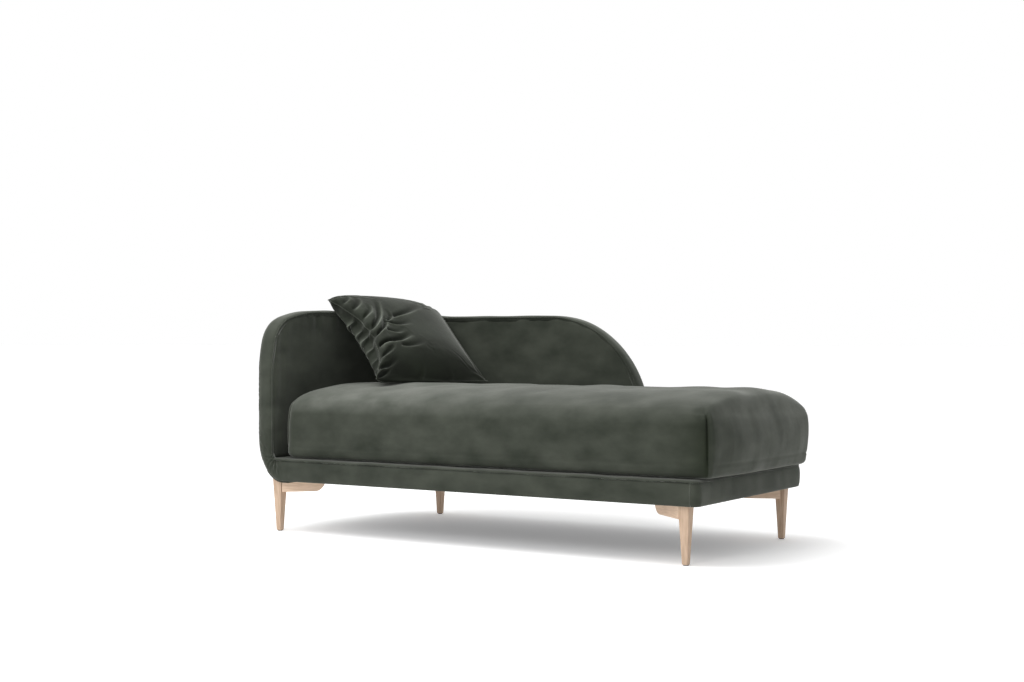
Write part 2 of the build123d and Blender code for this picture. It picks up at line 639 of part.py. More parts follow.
# ---- Zips ----
def zip_plane(kind):
    """Plane on the surface a zip is sewn to: X along its chain, Z outwards."""
    if kind == "seat":
        return Plane(origin=(0, SEAT["back"], ZIP_Z), x_dir=(-1, 0, 0), z_dir=(0, 1, 0))
    edge = PILLOW_PLANE.from_local_coords((0, PILLOW_SIDE / 2, 0))
    return Plane(origin=edge, x_dir=PILLOW_RIGHT, z_dir=PILLOW_PLANE.y_dir)


ZIPS = {
    "seat": {"from": -ZIP_END, "to": -ZIP_START, "tape": TAPE_WIDTH, "park": -ZIP_END + 10},
    "pillow": {"from": -170.0, "to": 170.0, "tape": 7.0, "park": -160.0},
}


def zip_box(plane, x0, x1, y0, y1, z0, z1, mode=Mode.ADD):
    """A block in a zip's own frame, added to the part being built."""
    with BuildSketch(plane.offset(z0)) as face:
        with Locations(((x0 + x1) / 2, (y0 + y1) / 2)):
            Rectangle(x1 - x0, y1 - y0)
    extrude(face.sketch, amount=z1 - z0, mode=mode)


for kind, run in ZIPS.items():
    plane = zip_plane(kind)
    chain_top = TAPE + CHAIN
    roof = chain_top + ZIP_GAP
    slider_top = roof + SLIDER_WALL
    x0, x1 = run["park"] - SLIDER_LENGTH / 2, run["park"] + SLIDER_LENGTH / 2
    pin_z = slider_top + 2
    pin_plane = Plane(origin=plane.from_local_coords((x1 - 3, 0, pin_z)), x_dir=plane.x_dir,
                      z_dir=plane.y_dir)

    with BuildPart() as tape:
        zip_box(plane, run["from"] - 12, run["to"] + 12, -run["tape"] / 2, run["tape"] / 2, 0, TAPE)
    save(tape, f"{kind}_zip_tape")

    with BuildPart() as chain:
        zip_box(plane, run["from"], run["to"], -CHAIN_WIDTH / 2, CHAIN_WIDTH / 2, TAPE, chain_top)
    save(chain, f"{kind}_zip_chain")

    with BuildPart() as slider:
        zip_box(plane, x0, x1, -SLIDER_WIDTH / 2, SLIDER_WIDTH / 2, TAPE + ZIP_GAP, slider_top)
        zip_box(plane, x0, x1, -CHAIN_WIDTH / 2 - ZIP_GAP, CHAIN_WIDTH / 2 + ZIP_GAP, 0, roof,
                Mode.SUBTRACT)
        fillet(slider.edges().filter_by(lambda e: abs((e % 0.5).dot(plane.z_dir)) > 0.99)
               .sort_by_distance(plane.from_local_coords((x0, 0, slider_top)))[0:2], 1.5)
        for side in (-1, 1):
            low, high = sorted((side * 2.2, side * 3.8))
            zip_box(plane, x1 - 5.5, x1 - 0.5, low, high, slider_top, pin_z + 1.6)
        with BuildSketch(pin_plane):
            Circle(PIN_RADIUS)
        extrude(amount=3, both=True)
    save(slider, f"{kind}_zip_slider")

    with BuildPart() as pull:
        zip_box(plane, x1 - 3, x1 - 5 + PULL_LENGTH, -2, 2, pin_z - PULL / 2, pin_z + PULL / 2)
        zip_box(plane, x1 + 2, x1 - 5 + PULL_LENGTH, -PULL_WIDTH / 2, PULL_WIDTH / 2,
                pin_z - PULL / 2, pin_z + PULL / 2)
        with BuildSketch(pin_plane):
            Circle(1.7)
        extrude(amount=2, both=True)
        with BuildSketch(pin_plane):
            Circle(PIN_RADIUS + 0.08)
        extrude(amount=3, both=True, mode=Mode.SUBTRACT)
    save(pull, f"{kind}_zip_pull")
    print(kind, "zip: pull pivots at", pin_plane.origin, "about", pin_plane.z_dir)
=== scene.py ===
"""Looks of the upholstered daybed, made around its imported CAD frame. Metres, +Z up, -Y to the front."""

import math

import bmesh
import bpy
import numpy as np
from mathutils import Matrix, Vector


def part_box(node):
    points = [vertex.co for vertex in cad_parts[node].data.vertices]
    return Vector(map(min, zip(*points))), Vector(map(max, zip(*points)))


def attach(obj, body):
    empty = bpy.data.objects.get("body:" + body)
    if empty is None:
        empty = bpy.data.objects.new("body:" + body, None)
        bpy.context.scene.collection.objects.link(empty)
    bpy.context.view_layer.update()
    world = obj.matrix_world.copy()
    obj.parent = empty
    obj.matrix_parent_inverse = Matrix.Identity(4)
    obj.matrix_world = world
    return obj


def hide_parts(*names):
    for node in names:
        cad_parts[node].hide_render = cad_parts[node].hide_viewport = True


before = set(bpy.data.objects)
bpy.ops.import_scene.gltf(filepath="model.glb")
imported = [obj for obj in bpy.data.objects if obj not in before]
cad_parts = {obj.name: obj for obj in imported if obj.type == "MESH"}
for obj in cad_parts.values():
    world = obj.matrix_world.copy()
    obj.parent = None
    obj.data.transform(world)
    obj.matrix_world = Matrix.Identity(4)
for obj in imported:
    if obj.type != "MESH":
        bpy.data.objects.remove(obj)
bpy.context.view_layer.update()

# ---- Places and sizes read from the frame ----
BASE_LOW, BASE_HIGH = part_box("base_border_cover")
RIM_LOW, RIM_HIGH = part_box("wall_border_cover")
SEAT_LOW, SEAT_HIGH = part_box("seat_cover")
DECK_LOW, DECK_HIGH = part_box("deck_cover")
LEFT, RIGHT = RIM_LOW.x, BASE_HIGH.x
FRONT, BACK = BASE_LOW.y, BASE_HIGH.y
UNDER, SEAM = BASE_LOW.z, BASE_HIGH.z
ARM_TOP, WALL_END = RIM_HIGH.z, RIM_HIGH.x
DECK = DECK_HIGH.z
WALL = DECK_LOW.x - LEFT

# ---- Shapes that the CAD outlines share ----
BACK_TOP = ARM_TOP - 0.018
CORNER = 0.300  # plan radius between arm and backrest
END_RADIUS = 0.400
UNDER_X, UNDER_Z = 0.108, 0.160  # rounded edge under the arm
ARM_ARCS = ((0.455, 15.0), (0.129, 60.0), (0.695, 15.0))  # radius and turn: flank, corner, crown
PLAN_RADII = {"front_right": 0.027, "back_right": 0.050}

# ---- Upholstery ----
RIM_CROWN = 0.009  # how far the rounded border stands above its two seams
BASE_CROWN = 0.0075
SEAM_DIP = 0.0032
STEP = 0.0065  # spacing of the fabric meshes


# ---- Mesh helpers ----
def mesh_object(name, points, faces):
    """A smooth-shaded mesh object from points and faces."""
    mesh = bpy.data.meshes.new(name)
    mesh.from_pydata(np.asarray(points, float).tolist(), [], faces)
    mesh.validate()
    mesh.update()
    mesh.shade_smooth()
    piece = bpy.data.objects.new(name, mesh)
    bpy.context.scene.collection.objects.link(piece)
    return piece


def grid_faces(rows, columns, wrap=False):
    """Quads of a grid of rows by columns, joined round its columns if wrap is true."""
    last = columns if wrap else columns - 1
    return [
        (r * columns + c, r * columns + (c + 1) % columns,
         (r + 1) * columns + (c + 1) % columns, (r + 1) * columns + c)
        for r in range(rows - 1) for c in range(last)
    ]


def unit(vectors):
    """The vectors scaled to length one."""
    return vectors / np.maximum(np.linalg.norm(vectors, axis=-1, keepdims=True), 1e-12)


def waves(points, wavelength, seed, stretch=(1, 1, 1), count=14):
    """Smooth seeded noise of about unit size at each point; stretch lengthens it along an axis."""
    rng = np.random.default_rng(seed)
    scaled = np.asarray(points, float) / np.asarray(stretch, float)
    directions = unit(rng.normal(size=(count, 3)))
    turns = directions * (2 * np.pi / (wavelength * rng.uniform(0.7, 1.5, (count, 1))))
    phases = rng.uniform(0, 2 * np.pi, count)
    return np.sin(scaled @ turns.T + phases).sum(axis=-1) / math.sqrt(count / 2)


def bell(distance, width):
    """One at no distance, falling smoothly to nothing over a few widths."""
    return np.exp(-(np.asarray(distance) / width) ** 2)


def even(start, end, step=STEP):
    """Evenly spaced numbers from start to end, about one step apart."""
    return np.linspace(start, end, max(2, int(abs(end - start) / step) + 1))


def solidify(piece, thickness, side=-1):
    """Give a sheet of mesh its real thickness."""
    modifier = piece.modifiers.new("thickness", "SOLIDIFY")
    modifier.thickness = thickness
    modifier.offset = side


def band(name, outer, inner, normal, crown, relief=None, across=18, depth=0.012):
    """A padded strip between two edge lines: crowned across its width, closed behind and at its ends."""
    share = (1 - np.cos(np.linspace(0, np.pi, across))) / 2
    roundness = 2.6
    dome = (1 - np.abs(2 * share - 1) ** roundness) ** (1 / roundness) - 1
    crown = np.broadcast_to(np.asarray(crown, float), (len(outer),))
    lift = crown[:, None] * dome[None, :]
    if relief is not None:
        lift = lift + relief(share)
    face = outer[:, None, :] + (inner - outer)[:, None, :] * share[None, :, None]
    face = face + normal[:, None, :] * lift[:, :, None]
    sunk = normal * (crown + depth)[:, None]
    back = np.stack([inner - sunk, outer - sunk], axis=1)
    ring = np.concatenate([face, back], axis=1)
    rows, columns = ring.shape[:2]
    faces = grid_faces(rows, columns, wrap=True)
    faces.append(tuple(range(columns)))
    faces.append(tuple((rows - 1) * columns + c for c in reversed(range(columns))))
    return mesh_object(name, ring.reshape(-1, 3), faces)


def lay_painted_light(piece, share):
    """Store painted light and shade at each point in the mesh's pile attribute: 1 leaves the velvet's
    colour, less paints shade, more paints light.
    """
    colour = np.column_stack([share, 1 + 0.9 * (share - 1), 1 + 1.1 * (share - 1), np.ones(len(share))])
    attribute = piece.data.attributes.new("pile", "FLOAT_COLOR", "POINT")
    attribute.data.foreach_set("color", np.maximum(colour, 0.02).reshape(-1))


def cord_mesh(name, path, radius, sides=8):
    """A thin closed tube along a path."""
    path = np.asarray(path, float)
    along = unit(np.gradient(path, axis=0))
    helper = np.where(np.abs(along[:, 2:3]) > 0.9, np.array([[1.0, 0, 0]]), np.array([[0, 0, 1.0]]))
    across = unit(np.cross(along, helper))
    up = np.cross(across, along)
    turn = np.linspace(0, 2 * np.pi, sides, endpoint=False)
    ring = (path[:, None, :] + radius * (np.cos(turn)[None, :, None] * across[:, None, :]
                                         + np.sin(turn)[None, :, None] * up[:, None, :]))
    faces = grid_faces(len(path), sides, wrap=True)
    faces.append(tuple(range(sides)))
    faces.append(tuple((len(path) - 1) * sides + c for c in reversed(range(sides))))
    return mesh_object(name, ring.reshape(-1, 3), faces)


def close_ends(piece):
    """Join points that fall together, such as the collapsed first and last rows of a ring mesh."""
    work = bmesh.new()
    work.from_mesh(piece.data)
    bmesh.ops.remove_doubles(work, verts=work.verts, dist=0.0012)
    bmesh.ops.recalc_face_normals(work, faces=work.faces)
    work.to_mesh(piece.data)
    work.free()
    piece.data.shade_smooth()


# ---- Materials ----
def node_material(name):
    """A new node material with its Principled shader."""
    material = bpy.data.materials.new(name)
    material.use_nodes = True
    tree = material.node_tree
    return material, tree.nodes, tree.links, tree.nodes["Principled BSDF"]


def noise_node(nodes, links, scale, detail, stretch=(1, 1, 1)):
    """Noise on object coordinates, in metres; stretch scales each axis, and a small scale draws it out."""
    place = nodes.new("ShaderNodeTexCoord")
    mapping = nodes.new("ShaderNodeMapping")
    mapping.inputs["Scale"].default_value = stretch
    noise = nodes.new("ShaderNodeTexNoise")
    noise.inputs["Scale"].default_value = scale
    noise.inputs["Detail"].default_value = detail
    links.new(place.outputs["Object"], mapping.inputs["Vector"])
    links.new(mapping.outputs["Vector"], noise.inputs["Vector"])
    return noise


def ramp_node(nodes, links, source, stops):
    """A colour ramp from (position, colour) stops, driven by a factor."""
    ramp = nodes.new("ShaderNodeValToRGB")
    elements = ramp.color_ramp.elements
    while len(elements) < len(stops):
        elements.new(0.5)
    for element, (position, colour) in zip(elements, stops):
        element.position = position
        element.color = (*colour, 1)
    links.new(source, ramp.inputs["Fac"])
    return ramp


def bump_chain(nodes, links, shader, layers):
    """Stack bump layers, each (height socket, strength, distance in metres), onto a shader."""
    previous = None
    for height, strength, distance in layers:
        bump = nodes.new("ShaderNodeBump")
        bump.inputs["Strength"].default_value = strength
        bump.inputs["Distance"].default_value = distance
        links.new(height, bump.inputs["Height"])
        if previous is not None:
            links.new(previous.outputs["Normal"], bump.inputs["Normal"])
        previous = bump
    links.new(previous.outputs["Normal"], shader.inputs["Normal"])


def velvet(name, dark, light, sheen, with_painted_light=False):
    """Short-pile velvet: brushed patches of two close tones, a pale sheen and a fine pile."""
    material, nodes, links, shader = node_material(name)
    brushed = noise_node(nodes, links, 9.0, 3.0, (1.0, 1.0, 1.6))
    tone = ramp_node(nodes, links, brushed.outputs["Fac"], ((0.30, dark), (0.72, light)))
    colour = tone.outputs["Color"]
    if with_painted_light:  # painted light and shade: the colour is multiplied by the mesh's pile attribute, paler where it paints light and darker where it paints shade
        attribute = nodes.new("ShaderNodeAttribute")
        attribute.attribute_name = "pile"
        mix = nodes.new("ShaderNodeMix")
        mix.data_type = "RGBA"
        mix.blend_type = "MULTIPLY"
        mix.inputs["Factor"].default_value = 1.0
        links.new(colour, mix.inputs["A"])
        links.new(attribute.outputs["Color"], mix.inputs["B"])
        colour = mix.outputs["Result"]
    links.new(colour, shader.inputs["Base Color"])
    shader.inputs["Roughness"].default_value = 0.85
    shader.inputs["Specular IOR Level"].default_value = 0.18
    shader.inputs["Sheen Weight"].default_value = sheen
    shader.inputs["Sheen Roughness"].default_value = 0.38
    shader.inputs["Sheen Tint"].default_value = (0.92, 0.94, 0.88, 1)
    pile = noise_node(nodes, links, 1400.0, 2.0)
    crush = noise_node(nodes, links, 55.0, 4.0, (1.0, 1.0, 0.6))
    bump_chain(nodes, links, shader, ((crush.outputs["Fac"], 0.25, 0.0016),
                                      (pile.outputs["Fac"], 0.30, 0.0005)))
    return material


def timber(name, pale, grain, stretch):
    """Sawn timber, its grain running along the axis with the smallest scale in stretch."""
    material, nodes, links, shader = node_material(name)
    fibres = noise_node(nodes, links, 260.0, 8.0, stretch)
    tone = ramp_node(nodes, links, fibres.outputs["Fac"], ((0.34, grain), (0.60, pale)))
    links.new(tone.outputs["Color"], shader.inputs["Base Color"])
    shader.inputs["Roughness"].default_value = 0.62
    shader.inputs["Specular IOR Level"].default_value = 0.35
    pores = noise_node(nodes, links, 900.0, 3.0, stretch)
    bump_chain(nodes, links, shader, ((pores.outputs["Fac"], 0.25, 0.0006),
                                      (fibres.outputs["Fac"], 0.20, 0.0008)))
    return material


def plain(name, dark, light, scale, roughness, metallic=0.0, bump=0.2):
    """A simple worked finish: two close tones of speckle with a matching bump."""
    material, nodes, links, shader = node_material(name)
    speck = noise_node(nodes, links, scale, 4.0)
    tone = ramp_node(nodes, links, speck.outputs["Fac"], ((0.35, dark), (0.65, light)))
    links.new(tone.outputs["Color"], shader.inputs["Base Color"])
    shader.inputs["Roughness"].default_value = roughness
    shader.inputs["Metallic"].default_value = metallic
    bump_chain(nodes, links, shader, ((speck.outputs["Fac"], bump, 0.0004),))
    return material


VELVET = velvet("velvet", (0.021, 0.025, 0.018), (0.043, 0.048, 0.037), 0.34)
# the next two velvets take painted light and shade from the mesh's pile attribute
PAINTED_LIGHT_VELVET = velvet("velvet_seat_painted_light", (0.020, 0.024, 0.017), (0.044, 0.049, 0.038), 0.32, with_painted_light=True)
PILLOW_VELVET = velvet("velvet_pillow_painted_light", (0.009, 0.011, 0.007), (0.020, 0.024, 0.017), 0.26, with_painted_light=True)
OAK = timber("pale_oak", (0.50, 0.365, 0.265), (0.39, 0.275, 0.19), (1.0, 1.0, 0.06))
OAK_BRACKET = timber("pale_oak_bracket", (0.66, 0.49, 0.365), (0.55, 0.395, 0.28), (0.10, 0.14, 1.0))
SOFTWOOD = timber("softwood", (0.66, 0.50, 0.31), (0.52, 0.36, 0.20), (0.08, 1.0, 1.0))
PLYWOOD = timber("plywood", (0.63, 0.48, 0.31), (0.50, 0.36, 0.21), (0.10, 0.10, 1.0))
STEEL = plain("zinc_steel", (0.42, 0.42, 0.43), (0.60, 0.60, 0.61), 300.0, 0.35, 1.0, 0.1)
FOAM = plain("foam", (0.72, 0.67, 0.50), (0.84, 0.80, 0.66), 500.0, 0.95, 0.0, 0.6)
FELT = plain("felt", (0.22, 0.21, 0.20), (0.36, 0.35, 0.32), 350.0, 0.95, 0.0, 0.6)
DUST_CLOTH = plain("dust_cloth", (0.016, 0.016, 0.018), (0.035, 0.035, 0.038), 420.0, 0.9, 0.0, 0.5)
GLIDE = plain("glide", (0.06, 0.055, 0.05), (0.11, 0.10, 0.09), 300.0, 0.7)
ZIP_TAPE = plain("zip_tape", (0.026, 0.030, 0.023), (0.045, 0.050, 0.040), 900.0, 0.9, 0.0, 0.5)
ZIP_METAL = plain("zip_metal", (0.07, 0.075, 0.065), (0.13, 0.135, 0.12), 500.0, 0.38, 0.9, 0.1)

NODE_MATERIALS = {
    "leg_post": OAK, "leg_bracket": OAK_BRACKET, "foot_glides": GLIDE, "dust_cover": DUST_CLOTH,
    "leg_bolts": STEEL, "leg_tee_nuts": STEEL, "post_bolts": STEEL, "board_screws": STEEL,
    "zigzag": STEEL, "spring_clips": STEEL, "deck_felt": FELT, "leg_dowels": SOFTWOOD,
    "leg_mount_boards": PLYWOOD, "arm_board": PLYWOOD, "corner_board": PLYWOOD, "back_board": PLYWOOD,
}


def dress(piece, material):
    """Put one material on a piece."""
    piece.data.materials.clear()
    piece.data.materials.append(material)


def dress_cad_nodes():
    """Give every CAD node its finish; the ones that pieces replace are hidden later."""
    for name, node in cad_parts.items():
        found = [m for start, m in NODE_MATERIALS.items() if name.startswith(start)]
        if found:
            dress(node, found[0])
        elif name.endswith("_tape"):
            dress(node, ZIP_TAPE)
        elif "_zip_" in name:
            dress(node, ZIP_METAL)
        elif "foam" in name or "padding" in name or "core" in name:
            dress(node, FOAM)
        elif "cover" in name or "wrap" in name or "filling" in name:
            dress(node, VELVET)
        else:
            dress(node, SOFTWOOD)


# ---- Outline of the wall's rim ----
def arm_edge(inset):
    """Points (y, z) over the arm's front corner, held in from its rim, and their outward normals."""
    rise = sum(
        radius * (math.sin(math.radians(end)) - math.sin(math.radians(end - turn)))
        for (radius, turn), end in zip(ARM_ARCS, np.cumsum([turn for _, turn in ARM_ARCS]))
    )
    centre = np.array([FRONT + ARM_ARCS[0][0], ARM_TOP - rise])
    angle, points, normals = 0.0, [], []
    for number, (radius, turn) in enumerate(ARM_ARCS):
        if number:
            facing = np.array([-math.cos(angle), math.sin(angle)])
            centre = centre + (ARM_ARCS[number - 1][0] - radius) * facing
        for value in even(angle, angle + math.radians(turn), STEP / radius)[(1 if number else 0):]:
            facing = np.array([-math.cos(value), math.sin(value)])
            points.append(centre + (radius - inset) * facing)
            normals.append(facing)
        angle += math.radians(turn)
    return np.array(points), np.array(normals)


def rim_height(x):
    """Height of the rim over the arm, the corner and the backrest, before its quarter-round end."""
    share = np.clip((LEFT + CORNER - x) / (CORNER - WALL - 0.006), 0, 1)
    return BACK_TOP + (ARM_TOP - BACK_TOP) * share * share * (3 - 2 * share)


def corner_centre():
    """Plan centre of the round corner between arm and backrest."""
    return np.array([LEFT + CORNER, BACK - CORNER])


def wall_path(depth):
    """Plan line of the wall at a depth in it, from the end of the arm's crown to the backrest's arc."""
    crown_end = arm_edge(0)[0][-1][0]
    centre = corner_centre()
    ys = even(crown_end, centre[1])[1:]
    arm = np.stack([np.full_like(ys, LEFT + depth), ys], axis=1)
    angles = even(0, np.pi / 2, STEP / CORNER)[1:]
    turn = centre + (CORNER - depth) * np.stack([-np.cos(angles), np.sin(angles)], axis=1)
    xs = even(centre[0], WALL_END - END_RADIUS)[1:]
    back = np.stack([xs, np.full_like(xs, BACK - depth)], axis=1)
    return np.concatenate([arm, turn, back])


def end_arc(inset):
    """Points (x, z) down the quarter-round end of the backrest and their outward normals."""
    angles = even(0, np.pi / 2, STEP / END_RADIUS)[1:]
    facing = np.stack([np.sin(angles), np.cos(angles)], axis=1)
    centre = np.array([WALL_END - END_RADIUS, BACK_TOP - END_RADIUS])
    return centre + (END_RADIUS - inset) * facing, facing


def with_column(values, column, fill):
    """Insert a constant column into rows of 2-D points."""
    return np.insert(values, column, fill, axis=1)


# ---- Border ribbon ----
def ribbon_lines():
    """Outer edge, inner edge, normal and crown: base, lower corner, arm front, rim, rounded end."""
    outer, inner, normal, crown = [], [], [], []

    def extend(outside, inside, facing, height):
        outer.append(outside)
        inner.append(inside)
        normal.append(np.broadcast_to(facing, outside.shape))
        crown.append(np.broadcast_to(height, (len(outside),)))

    toward_front = np.array([0.0, -1.0, 0.0])
    start_x = RIGHT - PLAN_RADII["front_right"]
    inner_radius = 0.027
    under_x = LEFT + UNDER_X
    share = np.linspace(0, 1, int((start_x - under_x) / STEP))[:, None]
    inner_x = LEFT + WALL + inner_radius
    extend(np.array([start_x, FRONT, UNDER]) + share * np.array([under_x - start_x, 0, 0]),
           np.array([start_x, FRONT, SEAM]) + share * np.array([inner_x - start_x, 0, 0]),
           toward_front, BASE_CROWN)
    turn = np.linspace(0, np.pi / 2, 44)[1:]
    grow = (turn / turn[-1])
    extend(np.stack([under_x - UNDER_X * np.sin(turn), np.full_like(turn, FRONT),
                     UNDER + UNDER_Z * (1 - np.cos(turn))], axis=1),
           np.stack([inner_x - inner_radius * np.sin(turn), np.full_like(turn, FRONT),
                     SEAM + inner_radius * (1 - np.cos(turn))], axis=1),
           toward_front, BASE_CROWN + (RIM_CROWN - BASE_CROWN) * grow)
    corner, facing = arm_edge(0)
    share = np.linspace(0, 1, int((corner[0][1] - UNDER - UNDER_Z) / STEP))[1:-1, None]
    low_outer = np.array([LEFT, FRONT, UNDER + UNDER_Z])
    low_inner = np.array([LEFT + WALL, FRONT, SEAM + inner_radius])
    extend(low_outer + share * (np.array([LEFT, FRONT, corner[0][1]]) - low_outer),
           low_inner + share * (np.array([LEFT + WALL, FRONT, corner[0][1]]) - low_inner),
           toward_front, RIM_CROWN)
    extend(with_column(corner, 0, LEFT), with_column(corner, 0, LEFT + WALL),
           with_column(facing, 0, 0), RIM_CROWN)
    outside, inside = wall_path(0), wall_path(WALL)
    extend(np.column_stack([outside, rim_height(outside[:, 0])]),
           np.column_stack([inside, rim_height(inside[:, 0])]),
           np.array([0.0, 0.0, 1.0]), RIM_CROWN)
    arc, facing = end_arc(0)
    extend(with_column(arc, 1, BACK), with_column(arc, 1, BACK - WALL),
           with_column(facing, 1, 0), RIM_CROWN)
    zs = even(arc[-1][1], DECK - 0.012)[1:]
    down = np.stack([np.full_like(zs, WALL_END), np.full_like(zs, BACK), zs], axis=1)
    extend(down, down - np.array([0, WALL, 0]), np.array([1.0, 0, 0]), RIM_CROWN)
    return [np.concatenate(part) for part in (outer, inner, normal, crown)]


def ribbon_relief(outer, inner, normal):
    """Folds in the ribbon: crinkles round the lower corner, puckers inside it, faint waves elsewhere."""
    middle = (outer + inner) / 2
    length = np.concatenate([[0], np.cumsum(np.linalg.norm(np.diff(middle, axis=0), axis=1))])
    low_corner = np.array([LEFT + 0.055, FRONT, UNDER + 0.085])
    near = bell(np.linalg.norm((middle - low_corner) * np.array([1.0, 1.0, 0.62]), axis=1), 0.105)
    on_front = normal[:, 1] < -0.99

    def relief(share):
        face = outer[:, None, :] + (inner - outer)[:, None, :] * share[None, :, None]
        flat = face.reshape(-1, 3)
        shape = face.shape[:2]
        crinkle = waves(np.stack([length[:, None] + 0.02 * share[None, :] ** 2,
                                  0.10 * share[None, :] + 0 * length[:, None],
                                  0 * face[:, :, 0]], axis=-1).reshape(-1, 3), 0.013, 3).reshape(shape)
        lift = 0.0010 * crinkle * (near * on_front)[:, None] * np.sin(np.pi * share)[None, :] ** 0.5
        inside_corner = np.array([LEFT + WALL + 0.022, FRONT, SEAM + 0.010])
        reach = np.linalg.norm(flat - inside_corner, axis=1).reshape(shape)
        angle = np.arctan2(face[:, :, 2] - inside_corner[2], face[:, :, 0] - inside_corner[0])
        pucker = 0.0030 * np.cos(11 * angle) * bell(reach - 0.016, 0.018) * on_front[:, None]
        faint = 0.0007 * waves(flat, 0.16, 5).reshape(shape)
        return lift + pucker + faint * np.sin(np.pi * share)[None, :]

    return relief


def shell_ribbon():
    """The whole border ribbon as one sewn strip, with a narrow welt along its seams."""
    outer, inner, normal, crown = ribbon_lines()
    ribbon = band("border_ribbon", outer, inner, normal, crown, ribbon_relief(outer, inner, normal))
    dress(ribbon, VELVET)
    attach(ribbon, "frame")
    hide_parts("wall_border_cover", "base_border_cover", "base_padding_front", "base_padding_foot",
                "base_padding_back", "base_padding_corner", "base_padding_arm")
    lip = 0.0012
    piped = inner[:, 2] > SEAM + 0.012
    for name, line, toward in (("welt_inner", inner, outer - inner), ("welt_outer", outer, inner - outer)):
        path = (line - normal * (crown - lip)[:, None] - unit(toward) * lip)[piped]
        welt = cord_mesh(name, path, 0.0021)
        dress(welt, VELVET)
        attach(welt, "frame")


# ---- Panels of the wall ----
def panel_columns(depth):
    """Columns of a wall panel: plan point, its normal away from the wall's outside, and rim height."""
    corner, _ = arm_edge(RIM_CROWN)
    front = np.column_stack([np.full(len(corner), LEFT + depth), corner])
    path = wall_path(depth)
    middle = np.column_stack([path, rim_height(path[:, 0]) - RIM_CROWN])
    arc, _ = end_arc(RIM_CROWN)
    end = np.column_stack([arc[:, 0], np.full(len(arc), BACK - depth), arc[:, 1]])
    columns = np.concatenate([front, middle, end])
    rim = rim_height(columns[:len(front), 0]) - RIM_CROWN
    columns[:len(front), 2] = np.minimum(columns[:len(front), 2], rim)
    centre = corner_centre()
    away = centre - columns[:, :2]
    facing = np.where(columns[:, 1:2] <= centre[1], np.array([[1.0, 0.0]]),
                      np.where(columns[:, 0:1] >= centre[0], np.array([[0.0, -1.0]]), unit(away)))
    return columns, facing


def outline_distance(columns, heights):
    """Distance in the panel's own flat pattern from each grid point to the seam round it."""
    travel = np.concatenate([[0], np.cumsum(np.linalg.norm(np.diff(columns[:, :2], axis=0), axis=1))])
    seam = [np.stack([travel, columns[:, 2]], axis=1)]
    for column in (0, -1):
        zs = even(DECK - 0.05, columns[column, 2])
        seam.append(np.stack([np.full_like(zs, travel[column]), zs], axis=1))
    seam = np.concatenate(seam)
    points = np.stack([np.broadcast_to(travel[:, None], heights.shape), heights], axis=-1).reshape(-1, 2)
    nearest = np.full(len(points), 9.0)
    for start in range(0, len(seam), 64):
        gap = points[:, None, :] - seam[None, start:start + 64, :]
        nearest = np.minimum(nearest, np.sqrt((gap ** 2).sum(axis=-1)).min(axis=1))
    return nearest.reshape(heights.shape)


def inner_panel():
    """Inside of arm, corner and backrest: one padded sheet, dipping into its seam."""
    columns, facing = panel_columns(WALL)
    rows = 86
    rise = np.linspace(0, 1, rows) ** 0.8
    low = DECK - 0.012
    heights = low + (columns[:, 2:3] - low) * rise[None, :]
    gap = outline_distance(columns, heights)
    plan = columns[:, None, :2] + 0 * heights[:, :, None]
    flat = np.concatenate([plan, heights[:, :, None]], axis=-1)
    swell = -SEAM_DIP * bell(gap, 0.008) + 0.0010 * waves(flat.reshape(-1, 3), 0.22, 8).reshape(gap.shape)
    pulls = waves(flat.reshape(-1, 3), 0.05, 9, (1, 1, 5)).reshape(gap.shape)
    swell += 0.0011 * pulls * bell(gap - 0.03, 0.05)
    flat[:, :, :2] += facing[:, None, :] * swell[:, :, None]
    panel = mesh_object("inner_panel", flat.reshape(-1, 3), grid_faces(len(columns), rows))
    solidify(panel, 0.008, 1)
    finish_panel(panel, "wall_inner_cover", "arm_foam", "corner_foam", "back_foam")


def outer_panel():
    """Outside of arm, corner and backrest, rounding under the arm to the platform's underside."""
    columns, facing = panel_columns(0)
    centre = corner_centre()
    turned = np.clip(np.arctan2(columns[:, 1] - centre[1], centre[0] - columns[:, 0]) / (np.pi / 2), 0, 1)
    turned = np.where(columns[:, 1] <= centre[1], 0, turned)
    turn = np.cos(np.minimum(turned * np.pi / 2, 1.5))
    round_x = np.clip(CORNER - (CORNER - UNDER_X) / turn, 0.014, UNDER_X)
    round_z = np.maximum(0.014, UNDER_Z * (round_x * turn / UNDER_X) ** 2)
    wall_rows = np.linspace(0, 1, 64) ** 1.3
    low = UNDER + round_z
    wall = columns[:, 2:3] + (low[:, None] - columns[:, 2:3]) * wall_rows[None, :]
    angles = np.linspace(0, np.pi / 2, 22)[1:]
    bend = low[:, None] - round_z[:, None] * np.sin(angles)[None, :]
    inward = round_x[:, None] * (1 - np.cos(angles))[None, :]
    tuck = np.linspace(0, 0.024, 4)[1:]
    heights = np.concatenate([wall, bend, np.repeat(bend[:, -1:], 3, axis=1)], axis=1)
    inset = np.concatenate([0 * wall, inward, round_x[:, None] + tuck[None, :]], axis=1)
    gap = outline_distance(columns, heights)
    flat = np.concatenate([columns[:, None, :2] + facing[:, None, :] * inset[:, :, None],
                           heights[:, :, None]], axis=-1)
    swell = -SEAM_DIP * bell(gap, 0.008) + 0.0008 * waves(flat.reshape(-1, 3), 0.25, 12).reshape(gap.shape)
    swell = np.where(inset > 0.012, np.minimum(swell, 0), swell)
    flat[:, :, :2] -= facing[:, None, :] * swell[:, :, None]
    panel = mesh_object("outer_panel", flat.reshape(-1, 3), grid_faces(*heights.shape))
    solidify(panel, 0.006, -1)
    finish_panel(panel, "wall_outer_cover")


def finish_panel(panel, *nodes):
    """Dress a wall panel and say what it stands for."""
    dress(panel, VELVET)
    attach(panel, "frame")
    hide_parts(*nodes)


